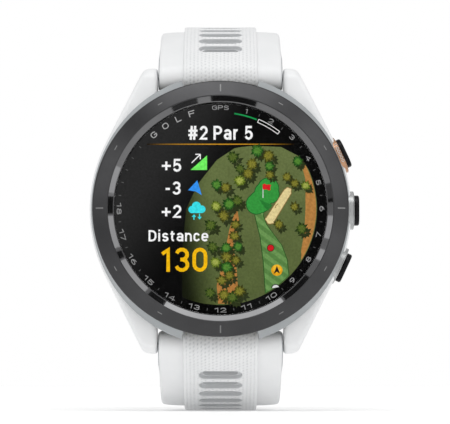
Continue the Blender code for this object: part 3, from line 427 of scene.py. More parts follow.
def make_bezel():
    """The satin ring, its polished inner chamfer and the twelve marks."""
    low = CREST_R - 0.12
    land = rounded_path([(low, TOP - 0.045), (CREST_R + 0.02, TOP, 0.1), (BEZEL_R - 0.16, TOP - 0.7, 0.22),
                         (BEZEL_R, TOP - 0.9, 0.2), (BEZEL_R, BEZEL_LOW, 0.15), (18.25, BEZEL_LOW),
                         (18.25, 11.55), (low, 11.55)], 5)
    turned_piece("bezel_ring", land, 360, CERAMIC, "case", replaces=["bezel"], slot="grey_ceramic", crease=50)
    chamfer = rounded_path([(17.04, 11.5), (17.04, LENS_TOP + 0.03), (17.16, LENS_TOP + 0.05, 0.03),
                            (CREST_R - 0.13, TOP - 0.03), (CREST_R - 0.13, 11.5)], 3)
    turned_piece("bezel_chamfer", chamfer, 360, POLISHED, "case", replaces=["bezel"], slot="grey_ceramic",
                 crease=6)
    count = 6
    for hour in range(12):
        turn = pi / 2 - hour * pi / 6
        inner, outer, half = (19.24, 19.37, 0.4) if hour % 3 else (18.7, 19.9, 0.1)
        top = []
        for i in range(count + 1):
            across = -half + 2 * half * i / count
            for radius in (inner, outer):
                x = radius * cos(turn) - across * sin(turn)
                y = radius * sin(turn) + across * cos(turn)
                top.append((x, y, land_height(hypot(x, y)) + 0.012))
        n = len(top)
        points = np.array(top + [(x, y, z - 0.062) for x, y, z in top])
        faces = [[1, 0, n, n + 1], [2 * count, 2 * count + 1, n + 2 * count + 1, n + 2 * count]]
        for i in range(count):
            a, b, c, d = 2 * i, 2 * i + 1, 2 * i + 3, 2 * i + 2
            faces += [[a, b, c, d], [n + d, n + c, n + b, n + a], [a, d, n + d, n + a], [c, b, n + b, n + c]]
        piece(f"bezel_mark_{hour or 12}", points, facing_out(points, faces), MARK, "case", ["bezel"],
              "pale_metal")


def make_lens():
    profile = rounded_path([(0.4, LENS_TOP), (17.0, LENS_TOP, 0.08), (17.0, 11.15), (18.1, 11.15),
                            (18.1, 10.5), (0.4, 10.5)], 4)
    turned_piece("lens_glass", profile, 256, GLASS, "case", closed=False, replaces=["display_lens"],
                 slot="clear_glass", crease=8)


# ---- strap
def smooth(value, low, high):
    """0 below low, 1 above high, and an even ease between."""
    t = np.clip((value - low) / (high - low), 0, 1)
    return t * t * (3 - 2 * t)


SIDE_R, BACK_R, END_R = 32.4, 50.0, 28.3801  # the loop's three arcs, from the lugs backwards
SIDE_CENTRE, END_CENTRE = -13.8636, -26.4199  # the heights of the arcs' centres
SIDE_LENGTH, BACK_LENGTH, BACK_TURN = 23.6884, 54.6724, 0.6197  # where two arcs end, and a turn


def loop_at(length):
    """Centre, radius and angle of the strap line's arc at a length from the lug."""
    length = np.asarray(length, float)
    first, second = length < SIDE_LENGTH, length < BACK_LENGTH
    centre_u = np.where(first, 0, np.where(second, SIDE_R - BACK_R, 0))
    centre_v = np.where(second, SIDE_CENTRE, END_CENTRE)
    radius = np.where(first, SIDE_R, np.where(second, BACK_R, END_R))
    beyond = pi / 2 + np.where(second, (length - SIDE_LENGTH) / BACK_R,
                               BACK_TURN + (length - BACK_LENGTH) / END_R)
    return centre_u, centre_v, radius, np.where(first, KNUCKLE_ANGLE + length / SIDE_R, beyond)


def loop_point(length, depth):
    cu, cv, radius, turn = loop_at(length)
    return cu + (radius - depth) * np.sin(turn), cv + (radius - depth) * np.cos(turn)


def thickness(length, total, end):
    body = 3.3 + (end - 3.3) * length / total
    return body + (5.7 - body) * np.maximum(0, 1 - length / 11.0) ** 2


def pill_distance(x, y, length, width):
    return np.hypot(np.maximum(np.abs(x) - (length - width) / 2, 0), y) - width / 2


def corner(distance, radius):
    """How far a rounded edge falls away at a distance inside it."""
    near = np.clip(radius - distance, 0, radius)
    return radius - np.sqrt(np.maximum(radius**2 - near**2, 0))


VENTS = [4.1 + 3.1 * i for i in range(6)]
VENT_LENGTH, VENT_WIDTH = 7.0, 2.15
SLOT_LENGTH, SLOT_WIDTH = 5.9, 1.95
ACROSS = np.array([1.0, 0, 0])


def make_strap(name, sign, total, end, body, holes):
    reach = total - 3.2
    band = np.arange(-40, 41) * 0.14
    lip = np.array([5.68, 5.76, 5.84, 5.91, 5.96, 5.99, 6.0])
    sides = np.array([6.0, 6.02, 6.06, 6.15, 6.4, 6.9, 7.5, 8.1, 8.6, 9.0, 9.25, 9.45, 9.6, 9.72,
                      9.81, 9.87, 9.9])
    x = np.concatenate([-sides[::-1], -lip[::-1], band, lip, sides])
    proud = np.concatenate([np.zeros(len(sides)), np.ones(len(lip) * 2 + len(band)), np.zeros(len(sides))])
    s_out = np.arange(0, total - 1.35, 0.16)
    knuckle = np.linspace(3 * pi / 2 - KNUCKLE_ANGLE, pi / 2 - KNUCKLE_ANGLE, 44)[:-1]
    tail = np.linspace(pi / 2, -pi / 2, 18)[1:-1, None]
    s_in = np.arange(total - 1.35, 0, -0.8)
    edge = STRAP_HALF - np.abs(x)
    band_fall = np.where(proud > 0, corner(BAND_HALF - np.abs(x), 0.3), 0)
    side_fall = BAND_PROUD + 0.25 * (np.clip(np.abs(x) - BAND_HALF, 0, None) / 3.9) ** 2 + corner(edge, 0.55)
    under = corner(edge, 0.6)

    def face_depth(s):
        """Depth of the outer face below the band, and the painted shade in its dimples, along s and across x.
        """
        s = s[:, None]
        share = smooth(s, reach, reach + 0.35)
        depth = np.where(proud > 0, band_fall * (1 - share) + np.maximum(side_fall, BAND_PROUD) * share,
                         side_fall)
        column = x[None, :] / 0.61
        nearest = np.round(column)
        row = s / 0.70 + 0.5 * (nearest % 2)
        dx = (column - nearest) * 0.61
        ds = (row - np.round(row)) * 0.70
        slant = (dx + 0.55 * ds) / 0.125
        lengthwise = (ds - 0.35 * dx) / 0.21
        # dimples: dented into the face for real, and also darkened with painted shade
        pit_and_painted_shade = np.clip(1.25 - (slant**2 + lengthwise**2), 0, 1)
        pit_and_painted_shade = pit_and_painted_shade * ((proud > 0) & (np.abs(x) < 5.5)) * (s < reach - 0.5) * (s > -9)
        for place in VENTS:
            near = pill_distance(x[None, :], s - place, VENT_LENGTH, VENT_WIDTH)
            depth = depth + np.where(near > -0.3, corner(np.clip(near, 0, None), 0.22), 0)
            pit_and_painted_shade = np.where(near < 0.16, 0, pit_and_painted_shade)
        return depth + 0.14 * pit_and_painted_shade, 0.4 * pit_and_painted_shade

    depth, knuckle_painted_shade = face_depth(KNUCKLE * (pi / 2 - KNUCKLE_ANGLE - knuckle))
    around = KNUCKLE - depth
    knuckle_u = BAR_REACH + around * np.cos(knuckle)[:, None]
    knuckle_v = BAR_HEIGHT + around * np.sin(knuckle)[:, None]
    depth, face_painted_shade = face_depth(s_out)
    out_u, out_v = loop_point(s_out[:, None], depth)
    last = s_out[-1]
    half = (thickness(last, total, end) - under - depth[-1]) / 2
    turn = float(loop_at(last)[3])
    mid_u, mid_v = loop_point(last, depth[-1] + half)
    forward = 1.35 * np.cos(tail) * np.sqrt(np.clip(1 - (np.abs(x) / 9.95) ** 6, 0.02, 1))
    lift = half * np.sin(tail)
    tail_u = mid_u + lift * sin(turn) + forward * cos(turn)
    tail_v = mid_v + lift * cos(turn) - forward * sin(turn)
    in_u, in_v = loop_point(s_in[:, None], thickness(s_in, total, end)[:, None] - under)
    u = np.concatenate([knuckle_u, out_u, tail_u, in_u])
    v = np.concatenate([knuckle_v, out_v, tail_v, in_v])
    shape = np.stack([np.broadcast_to(x, u.shape), sign * u, v], -1)

    snug = np.concatenate([np.ones(len(knuckle)), 1 - smooth(s_out, 3.0, 6.0), np.zeros(len(tail)),
                           1 - smooth(s_in, 3.0, 6.0)])
    shape[:, :, 0] *= 1 + 0.015 * snug[:, None] * smooth(np.abs(x), 6.5, 9.5)[None, :]
    if name == "lower":
        flat = np.concatenate([-np.ones(len(knuckle)), s_out, np.full(len(tail), total), s_in])
        inwards = np.clip((flat - (total - STRAP_HALF)) / STRAP_HALF, 0, 0.985)
        shape[:, :, 0] *= (np.sqrt(1 - inwards**2) ** 0.8)[:, None]
    # painted shade per point: in the dimples, and on the strap's sides beside the lugs, where the gap to the
    # lugs is in shade
    marks = np.zeros(u.shape)
    marks[:len(knuckle) + len(s_out)] = np.concatenate([knuckle_painted_shade, face_painted_shade])
    lug_gap_painted_shade = np.concatenate([np.ones(len(knuckle)), 1 - smooth(s_out, 2.5, 5.5),
                             np.zeros(len(tail) + len(s_in))])
    marks = np.maximum(marks, lug_gap_painted_shade[:, None] * (np.abs(x) > 9.8)[None, :])

    rows, columns = u.shape
    faces = [list(f) for f in grid_faces(rows, columns, False, True)]
    faces += [[i * columns for i in range(rows)], [i * columns + columns - 1 for i in range(rows)][::-1]]
    points = shape.reshape(-1, 3)
    obj = piece(f"strap_{name}_silicone", points, facing_out(points, faces), SILICONE, body,
                [f"strap_{name}"], "white_silicone", 42)
    attribute = obj.data.attributes.new("pit_and_painted_shade", "FLOAT", "POINT")
    attribute.data.foreach_set("value", marks.ravel().astype(np.float32))
    cut_strap(obj, name, sign, holes)


def pill_prism(length, width, centre, normal, low, high):
    """A helper solid: a pill outline extruded along a normal."""
    along = np.cross(normal, ACROSS)
    rim, n = [], 32
    for i in range(n):
        turn = 2 * pi * (i + 0.5) / n
        shift = (length - width) / 2 * (1 if cos(turn) > 0 else -1)
        rim.append((shift + width / 2 * cos(turn), width / 2 * sin(turn)))
    points = [centre + a * ACROSS + b * along + h * normal for h in (low, high) for a, b in rim]
    faces = [list(range(n))[::-1], list(range(n, 2 * n))]
    faces += [[i, (i + 1) % n, n + (i + 1) % n, n + i] for i in range(n)]
    return points, facing_out(points, faces)


def apply_cut(obj, name, solids):
    """Cuts separate closed solids out of a piece, all at once."""
    points, faces = [], []
    for some, those in solids:
        faces += [[k + len(points) for k in face] for face in those]
        points += some
    tool = mesh_object(name, world(np.array(points)), faces)
    change = obj.modifiers.new("cut", "BOOLEAN")
    change.operation = "DIFFERENCE"
    change.solver = "MANIFOLD"
    change.object = tool
    graph = bpy.context.evaluated_depsgraph_get()
    done = bpy.data.meshes.new_from_object(obj.evaluated_get(graph), depsgraph=graph)
    obj.modifiers.clear()
    old = obj.data
    obj.data = done
    done.name = old.name
    bpy.data.objects.remove(tool, do_unlink=True)


def place_on_loop(s, sign):
    """A point on the strap's line, with the outward normal there."""
    u, v = loop_point(s, 0)
    turn = float(loop_at(s)[3])
    return np.array([0, sign * float(u), float(v)]), np.array([0, sign * sin(turn), cos(turn)])


def cut_strap(obj, name, sign, holes):
    def prisms(places, length, width, low, high):
        return [pill_prism(length, width, *place_on_loop(place, sign), low, high) for place in places]

    apply_cut(obj, f"vent_steps_{name}", prisms(VENTS, VENT_LENGTH, VENT_WIDTH, -0.75, 2.0))
    apply_cut(obj, f"vent_holes_{name}", prisms(VENTS, SLOT_LENGTH, SLOT_WIDTH, -7.0, 1.0)
              + prisms(holes, 5.0, 2.0, -6.0, 2.0))
    obj.data.set_sharp_from_angle(angle=radians(38))
    flat = np.empty(len(obj.data.vertices) * 3)
    obj.data.vertices.foreach_get("co", flat)
    p = flat.reshape(-1, 3)[:, [0, 2, 1]] * [1000, 1000, -1000]
    attribute = obj.data.attributes["pit_and_painted_shade"]
    shades = np.empty(len(p), np.float32)
    attribute.data.foreach_get("value", shades)
    # the slots are cut for real; the darkening inside them is painted shade
    for place in VENTS:
        centre, normal = place_on_loop(place, sign)
        away = p - centre
        local = away @ ACROSS, away @ np.cross(normal, ACROSS)
        deep = -(away @ normal)
        within = np.where(deep < 2.2, pill_distance(*local, VENT_LENGTH, VENT_WIDTH) < 0.05,
                          pill_distance(*local, SLOT_LENGTH, SLOT_WIDTH) < 0.04)
        shades = np.where((deep > 0.12) & (deep < 7) & within, np.maximum(shades, 0.3), shades)
    attribute.data.foreach_set("value", shades.astype(np.float32))


def make_keeper(name, middle, body):
    """A silicone loop round both strap halves, rounded along its edges."""
    path, bend_radius = [], 1.7
    for k, (x, h) in enumerate(((1, 1), (-1, 1), (-1, -1), (1, -1))):
        for i in range(9):
            turn = pi / 2 * (k + i / 8)
            mid_x, mid_h = x * (10.75 - bend_radius), (3.5 - bend_radius if h > 0 else -4.15 + bend_radius)
            nx, nh = cos(turn), sin(turn)
            path.append((mid_x + bend_radius * nx, mid_h + bend_radius * nh, nx, nh))
    section = rounded_path([(0.6, 0), (0.6, 2.5, 0.45), (-0.6, 2.5, 0.3), (-0.6, -2.5, 0.3), 
                            (0.6, -2.5, 0.45), (0.6, 0)], 4)[:-1]
    centre, normal = place_on_loop(middle, 1)
    tangent = np.cross(normal, ACROSS)
    points = [(x + out * nx) * ACROSS + centre + (h + out * nh) * normal + along_it * tangent
              for x, h, nx, nh in path for out, along_it in section]
    faces = grid_faces(len(path), len(section), True, True)
    piece(f"{name}_silicone", points, facing_out(points, faces), SILICONE, body, [name], "white_silicone", 60)


# ---- display
def art_material(strength):
    """Display light whose colour each piece's own tint carries, with a slight mottle."""
    material = bpy.data.materials.new("display_art_look")
    tree, nodes, links, shader = nodes_of(material)
    attribute = nodes.new("ShaderNodeAttribute")
    attribute.attribute_name = "tint"
    cloud = noise(tree, 2600, 6.0)
    mottle = nodes.new("ShaderNodeMix")
    mottle.data_type = "RGBA"
    mottle.blend_type = "MULTIPLY"
    settle(mottle, Factor=1.0)
    links.new(attribute.outputs["Color"], mottle.inputs[6])
    links.new(mixed(tree, spread(tree, cloud.outputs["Fac"], 0, 1), *greys(0.82, 1.12)), mottle.inputs[7])
    links.new(mottle.outputs[2], shader.inputs["Emission Color"])
    settle(shader, Base_Color=(0.001, 0.001, 0.001, 1), Roughness=0.6, Specular_IOR_Level=0.0,
           Emission_Strength=strength)
    return material


ART = art_material(1.08)
LEVEL = 0.009


def art(name, shapes, level):
    """Flat lit shapes (points, faces, colour or colours per point) at a layer above the panel."""
    points, faces, tints = [], [], []
    for some, those, colour in shapes:
        some = np.asarray(some, float)
        start = len(points)
        for face in those:
            corners = [some[k] for k in face]
            area = sum(corners[k - 1][0] * corners[k][1] - corners[k][0] * corners[k - 1][1]
                       for k in range(len(corners)))
            face = list(face) if area > 0 else list(face)[::-1]
            faces.append([start + int(k) for k in face])
        points += [(p[0], p[1], PANEL_TOP + LEVEL * level) for p in some]
        colour = np.asarray(colour, float)
        tints.append(np.broadcast_to(colour, (len(some), 3)) if colour.ndim == 1 else colour)
    obj = piece(name, points, faces, ART, "case", ["display_panel"], "black_display", flat=True)
    tint = np.ones((len(points), 4))
    tint[:, :3] = np.concatenate(tints)
    if len(obj.data.vertices) != len(points):
        raise RuntimeError(f"{name} lost points")
    attribute = obj.data.attributes.new("tint", "FLOAT_COLOR", "POINT")
    attribute.data.foreach_set("color", tint.ravel())
    return obj


def outline(points, colour):
    return [(points, [list(range(len(points)))], colour)]


def spot(x, y, radius, colour, steps=28):
    turns = [2 * pi * i / steps for i in range(steps)]
    return outline([(x + radius * cos(t), y + radius * sin(t)) for t in turns], colour)


def stroke(points, width, colour):
    """A line of even width through points, with square ends."""
    p = np.array(points, float)
    shapes = []
    for a, b in zip(p, p[1:]):
        d = (b - a) / np.linalg.norm(b - a) * width / 2
        n = np.array([-d[1], d[0]])
        shapes += outline([a - d * 0.4 - n, b + d * 0.4 - n, b + d * 0.4 + n, a - d * 0.4 + n], colour)
    return shapes


def bend(x, y, wide, tall, first, last, steps=9):
    turns = np.radians(np.linspace(first, last, steps))
    return [(x + wide * cos(t), y + tall * sin(t)) for t in turns]


def glyph(letter):
    """A letter's width and its strokes' centre lines, in a box one wide and one high."""
    foot, head = -0.095, 1.095
    round_0 = bend(0.5, 0.7, 0.5, 0.3, 0, 180) + bend(0.5, 0.3, 0.5, 0.3, 180, 360) + [(1, 0.7)]
    shapes = {
        "0": (0.5, [round_0]), "O": (0.5, [round_0]),
        "1": (0.36, [[(-0.1, 0.78), (0.75, 0.98), (0.75, foot)]]),
        "2": (0.5, [bend(0.5, 0.7, 0.48, 0.3, 172, -25) + [(0.02, 0), (1.1, 0)]]),
        "3": (0.5, [bend(0.48, 0.75, 0.47, 0.25, 165, -75) + [(0.35, 0.51)],
                    [(0.35, 0.51)] + bend(0.48, 0.25, 0.5, 0.26, 75, -165)]),
        "4": (0.52, [[(0.74, foot), (0.74, 1), (0, 0.28), (1.15, 0.28)]]),
        "5": (0.5, [[(1.0, 1), (0.14, 1), (0.06, 0.5)] + bend(0.47, 0.31, 0.51, 0.31, 125, -160)]),
        "6": (0.5, [bend(0.95, 0.3, 0.95, 0.72, 100, 180) + bend(0.5, 0.3, 0.5, 0.3, 180, 540, 15)]),
        "7": (0.48, [[(-0.1, 1), (1, 1), (0.36, foot)]]),
        "8": (0.5, [bend(0.5, 0.76, 0.43, 0.24, 0, 360, 15), bend(0.5, 0.26, 0.5, 0.26, 0, 360, 15)]),
        "9": (0.5, [bend(0.05, 0.7, 0.95, 0.72, -80, 0) + bend(0.5, 0.7, 0.5, 0.3, 0, 360, 15)]),
        "#": (0.58, [[(0.36, head), (0.2, foot)], [(0.82, head), (0.66, foot)], [(-0.1, 0.68), (1.12, 0.68)],
                     [(-0.12, 0.31), (1.1, 0.31)]]),
        "+": (0.56, [[(0.5, 0.05), (0.5, 0.85)], [(-0.1, 0.45), (1.1, 0.45)]]),
        "-": (0.34, [[(-0.1, 0.42), (1.1, 0.42)]]),
        "P": (0.52, [[(0, foot), (0, 1)] + bend(0.48, 0.72, 0.52, 0.28, 90, -90) + [(0, 0.44)]]),
        "D": (0.53, [[(0, 0), (0, 1)] + bend(0.35, 0.62, 0.65, 0.38, 90, 0)
                     + bend(0.35, 0.38, 0.65, 0.38, 0, -90) + [(0, 0)]]),
        "G": (0.52, [bend(0.5, 0.7, 0.5, 0.3, 15, 180) + bend(0.5, 0.3, 0.5, 0.3, 180, 345)
                     + [(1, 0.46), (0.5, 0.46)]]),
        "L": (0.42, [[(0, head), (0, 0), (1.1, 0)]]),
        "F": (0.44, [[(0, foot), (0, 1), (1.1, 1)], [(0, 0.52), (0.95, 0.52)]]),
        "S": (0.5, [bend(0.5, 0.75, 0.48, 0.25, 15, 262) + bend(0.5, 0.25, 0.5, 0.26, 82, -165)]),
        "a": (0.46, [bend(0.48, 0.5, 0.5, 0.22, 160, 0) + [(0.98, foot)],
                     bend(0.45, 0.2, 0.47, 0.2, 0, 360, 13)]),
        "r": (0.34, [[(0, foot), (0, 0.82)], bend(0.75, 0.38, 0.75, 0.34, 180, 75)]),
        "i": (0.17, [[(0.5, foot), (0.5, 0.82)], [(0.5, 0.98), (0.5, 1.16)]]),
        "s": (0.44, [bend(0.5, 0.54, 0.46, 0.18, 15, 262) + bend(0.5, 0.17, 0.5, 0.19, 82, -165)]),
        "t": (0.34, [[(0.35, 1.0), (0.35, 0.2)] + bend(0.85, 0.2, 0.5, 0.2, 180, 280, 5),
                     [(-0.2, 0.7), (1.1, 0.7)]]),
        "n": (0.46, [[(0, foot), (0, 0.82)], bend(0.5, 0.44, 0.5, 0.28, 180, 0) + [(1, foot)]]),
        "c": (0.44, [bend(0.5, 0.48, 0.48, 0.24, 15, 180) + bend(0.5, 0.24, 0.5, 0.24, 180, 345)]),
        "e": (0.46, [[(0.05, 0.36), (1, 0.36)] + bend(0.5, 0.46, 0.5, 0.26, 0, 180)
                     + bend(0.5, 0.24, 0.5, 0.24, 180, 325)]),
    }
    return shapes[letter]


def ribbon(points, width, colour):
    """A line of even width through points, its corners mitred."""
    p = np.array(points, float)
    p = p[np.concatenate([[True], np.linalg.norm(np.diff(p, axis=0), axis=1) > 1e-6])]
    ways = np.diff(p, axis=0)
    ways /= np.linalg.norm(ways, axis=1)[:, None]
    looped = np.linalg.norm(p[0] - p[-1]) < 1e-6
    before = np.concatenate([ways[-1:] if looped else ways[:1], ways])
    after = np.concatenate([ways, ways[:1] if looped else ways[-1:]])
    middle = before + after
    middle /= np.maximum(np.linalg.norm(middle, axis=1), 1e-6)[:, None]
    side = np.stack([-middle[:, 1], middle[:, 0]], -1)
    reach = width / 2 / np.clip((middle * after).sum(1), 0.55, 1)
    shapes = np.concatenate([p + side * reach[:, None], p - side * reach[:, None]])
    n = len(p)
    return [(shapes, [[i, i + 1, n + i + 1, n + i] for i in range(n - 1)], colour)]


def lettering(text, box, colour, bold=0.165, turn=0.0, about=(0, 0)):
    """Words in stroke letters fitted to a box (left, low, right, high), then turned about a point."""
    left, low, right, high = box
    gap, space = 0.5 * bold + 0.02, 0.13
    widths = [space if letter == " " else glyph(letter)[0] for letter in text]
    across = (right - left) / (sum(widths) + gap * (len(text) - 1))
    tall = high - low
    thick = bold * tall
    c, s = cos(turn), sin(turn)
    shapes, start = [], left
    for letter, width in zip(text, widths):
        if letter != " ":
            for line in glyph(letter)[1]:
                p = np.array(line)
                p = np.stack([start + thick / 2 + p[:, 0] * (width * across - thick),
                              low + thick / 2 + p[:, 1] * (tall - thick)], -1)
                shapes += ribbon(p @ np.array([[c, s], [-s, c]]) + about, thick, colour)
        start += (width + gap) * across
    return shapes


def along(y, line):
    """The x of a line of (x, y) points at heights y."""
    line = sorted(line, key=lambda q: q[1])
    return np.interp(y, [q[1] for q in line], [q[0] for q in line])


def field(low, high, left, right, step, shade, columns=40, edge=15.42):
    """A patch between two side lines, clipped by the dial, coloured point by point."""
    y = np.linspace(low, high, max(3, int((high - low) / step)))
    rim = np.sqrt(np.maximum(edge**2 - y**2, 0.0001))
    a = np.clip(along(y, left), -rim, rim)
    b = np.maximum(np.clip(along(y, right), -rim, rim), a + 0.001)
    t = np.linspace(0, 1, columns)
    xx = a[:, None] + (b - a)[:, None] * t
    yy = np.repeat(y[:, None], columns, 1)
    points = np.stack([xx, yy], -1).reshape(-1, 2)
    faces = grid_faces(len(y), columns, False, False)
    return [(points, faces, shade(points[:, 0], points[:, 1]))]


TREE_TONES = {
    "lime": ((66, 82, 24), (108, 126, 40), (158, 168, 78)),
    "green": ((30, 64, 22), (48, 98, 34), (82, 132, 50)),
    "olive": ((58, 60, 20), (96, 96, 32), (130, 126, 46)),
    "dark": ((34, 50, 18), (60, 80, 28), (88, 106, 42)),
}


def tree(dice, x, y, kind, size):
    """A palm or bush seen from above: a shadow, and three tiers of leaves."""
    middle = np.array([x, y])
    shapes, shade, turn0 = [], [], dice.random() * pi
    spikes = dice.choice([11, 12, 13]) if kind in ("lime", "green") else dice.choice([8, 9])
    tiers = zip(TREE_TONES[kind], (1.0, 0.84, 0.62), (0.46, 0.34, 0.2))
    for tier, (colour, reach, width) in enumerate(tiers):
        for i in range(spikes):
            turn = turn0 + 2 * pi * (i + 0.33 * tier) / spikes + dice.uniform(-0.12, 0.12)
            d = size * reach * dice.uniform(0.78, 1.12) * np.array([cos(turn), sin(turn)])
            n = size * width * 0.5 * np.array([-sin(turn), cos(turn)])
            blade = [middle + d * 0.04, middle + d * 0.55 - n, middle + d, middle + d * 0.55 + n]
            shapes.append((tier, blade, srgb(*colour)))
            if tier == 0:
                shade.append([q + np.array([size * 0.5, -size * 0.6]) for q in blade])
    return shapes, shade


def make_ground():
    turned_piece("display_black", [(17.7, PANEL_TOP), (17.7, 9.6), (0.4, 9.6), (0.4, PANEL_TOP)][::-1], 128,
                 BLACK_SCREEN, "case", closed=False, replaces=["display_panel"], slot="black_display")
    rings, spokes = 18, 96
    points = [(r * cos(2 * pi * j / spokes), r * sin(2 * pi * j / spokes))
              for r in np.linspace(0.02, 16.9, rings) for j in range(spokes)]
    p = np.array(points)
    # painted reflection: the screen's ground glows faintly brighter towards the upper left, above a tiny even
    # glow
    painted_lens_reflection = 0.020 * smooth(-(p[:, 0] * 0.75 - p[:, 1] * 0.5), 1.0, 13.0) * smooth(-p[:, 0], -9, 3) + 0.0015
    faces = [list(f) for f in grid_faces(rings, spokes, True, False)] + [list(range(spokes))]
    art("display_ground", [(p, faces, np.repeat(painted_lens_reflection[:, None], 3, 1))], 0.5)


ROUGH_LEFT = [(5.3, 10.1), (2.4, 9.8), (-0.6, 7.8), (-3.65, 3.9), (-5.5, -0.1), (-6.1, -6.6), (-6.1, -15.5)]
ROUGH_RIGHT = [(5.31, 10.1), (9.7, 9.9), (12.6, 8.4), (14.6, 5.6), (15.5, 3.0), (15.5, -15.5)]
FAIRWAY_LEFT = [(5.9, 0.3), (5.55, -1.1), (6.4, -4.6), (6.9, -8.6), (7.2, -13.1), (7.2, -13.6)]
FAIRWAY_RIGHT = [(7.0, 0.3), (6.8, -1.1), (7.3, -2.55), (9.7, -5.8), (10.6, -8.2), (10.9, -11.1),
                 (10.9, -13.6)]
BUNKER_ENDS = np.array([10.75, 2.75]), np.array([7.95, -1.75])


def make_course():
    def rough(x, y):
        lit = smooth(x + 0.10 * (y + 5), -6.6, -0.6) * 0.93 + 0.07
        lift = 0.5 + 0.5 * np.clip((y + 14) / 24, 0, 1)
        base = np.array(srgb(66, 78, 38)) * (1 - lift[:, None]) + np.array(srgb(100, 112, 66)) * lift[:, None]
        wave = 1 + 0.06 * np.sin(x * 1.3 + 0.4 * y) * np.cos(y * 1.1)
        return base * (lit * wave)[:, None]

    art("map_rough", field(-15.41, 10.1, ROUGH_LEFT, ROUGH_RIGHT, 0.2, rough, 70), 1)

    def plain(red, green, blue, amount=0.10):
        base = np.array(srgb(red, green, blue))
        return lambda x, y: base * (1 + amount * np.sin(x * 5.1 + y * 2.7) * np.cos(y * 3.9 - x))[:, None]

    dirt = field(-15.2, 0.4,
                 [(2.6, 0.4), (1.4, -3.4), (0.4, -8.6), (-0.6, -12.3), (-0.4, -14.7), (-0.4, -15.2)],
                 [(2.62, 0.4), (3.0, -2.15), (2.0, -5.8), (2.6, -9.85), (2.8, -13.1), (2.1, -15.2)], 0.2,
                 plain(172, 118, 60), 16)
    dirt += field(-8.6, 7.8,
                  [(12.8, 7.8), (13.6, 4.7), (13.6, -0.1), (13.4, -3.8), (12.9, -6.6), (12.9, -8.6)],
                  [(12.81, 7.8), (14.3, 6.2), (15.5, 3.4), (15.5, -8.6)], 0.2, plain(176, 124, 64), 16, 15.3)
    art("map_paths", dirt, 2)

    edges = [(x - 0.14, y) for x, y in FAIRWAY_LEFT], [(x + 0.14, y) for x, y in FAIRWAY_RIGHT]
    art("map_fairway_edge", field(-13.55, 0.3, *edges, 0.2, plain(44, 84, 36), 8, 15.35), 3)

    def mown(x, y):
        phase = (y + 0.75 * x - 0.3) / 1.62
        stripe = smooth(np.abs(phase - np.round(phase)), 0.235, 0.265)[:, None]
        return np.array(srgb(86, 128, 66)) * (1 - stripe) + np.array(srgb(106, 148, 82)) * stripe

    art("map_fairway", field(-13.5, 0.3, FAIRWAY_LEFT, FAIRWAY_RIGHT, 0.1, mown, 48, 15.25), 4)

    lobes = ((7.65, 3.25, 1.62), (5.75, 0.75, 1.58), (7.25, 2.5, 1.75), (6.3, 1.1, 1.72), (8.0, 2.3, 1.35))
    for k, (grow, colour) in enumerate(((0.13, srgb(28, 92, 40)), (0.0, srgb(52, 146, 60)))):
        for index, (x, y, radius) in enumerate(lobes):
            art(f"map_green_{k}_{index}", spot(x, y, radius + grow, colour, 44), 4.6 + 0.9 * k + 0.1 * index)
    fold = [(6.2, 1.45), (8.3, 0.55), (7.6, -0.35), (6.9, 0.4)]
    art("map_green_fold", outline(fold, srgb(38, 120, 48)), 6.2)

    near, far = BUNKER_ENDS
    way = (far - near) / np.linalg.norm(far - near)
    side = np.array([-way[1], way[0]])
    for k, (grow, colour) in enumerate(((0.12, (140, 112, 66)), (0.0, (222, 204, 146)))):
        rim = []
        for i in range(60):
            turn = 2 * pi * i / 60
            end = far if cos(turn) > 0 else near
            radius = 0.62 + grow + 0.06 * sin(5 * turn + 1)
            rim.append(end + way * radius * cos(turn) + side * (radius * sin(turn) + 0.12 * sin(turn * 2)))
        art(f"map_bunker_{k}", outline(rim, srgb(*colour)), 5 + k)
    art("map_bunker_fold", stroke([(9.2, 0.75), (8.85, 0.45), (8.75, 0.1)], 0.16, srgb(170, 146, 96)), 6.8)


def make_trees():
    dice = random.Random(11)
    spots, blades, shades = [], [], []
    for _ in range(6000):
        if len(spots) >= 38:
            break
        x, y = dice.uniform(-1.9, 14.2), dice.uniform(-14.2, 9.4)
        if x * x + y * y > 14.6**2 or y > 9.4 - 0.02 * (x - 6) ** 2 or x < float(along(y, ROUGH_LEFT)) + 0.9:
            continue
        if abs(x - 6.6) < 3.1 and -0.9 < y < 5.0 or pill_near(x, y, *BUNKER_ENDS) < 1.2:
            continue
        if float(along(y, FAIRWAY_LEFT)) - 1.3 < x < float(along(y, FAIRWAY_RIGHT)) + 1.2 and y < 0.3:
            continue
        crowd = 1.35 if y > 3.5 or x < 3.2 else 3.4
        if any((x - a) ** 2 + (y - b) ** 2 < crowd**2 for a, b in spots):
            continue
        if 3.2 < x < 5.6 and y < -1.5 or 10 < x < 12.4 and y < -2:
            continue
        spots.append((x, y))
        kind = dice.choice(["lime", "green", "olive", "olive", "dark"])
        fade = 0.35 + 0.65 * float(smooth(x, -6.0, -1.5))
        leaves, shade = tree(dice, x, y, kind, dice.uniform(0.9, 1.2))
        blades += [(tier, blade, tuple(fade * c for c in colour)) for tier, blade, colour in leaves]
        shades += shade
    art("map_tree_shadows", [s for q in shades for s in outline(q, srgb(44, 52, 26))], 7)
    for tier in range(3):
        leaves = [s for t, q, c in blades if t == tier for s in outline(q, c)]
        art(f"map_tree_leaves_{tier}", leaves, 7.8 + 0.7 * tier)


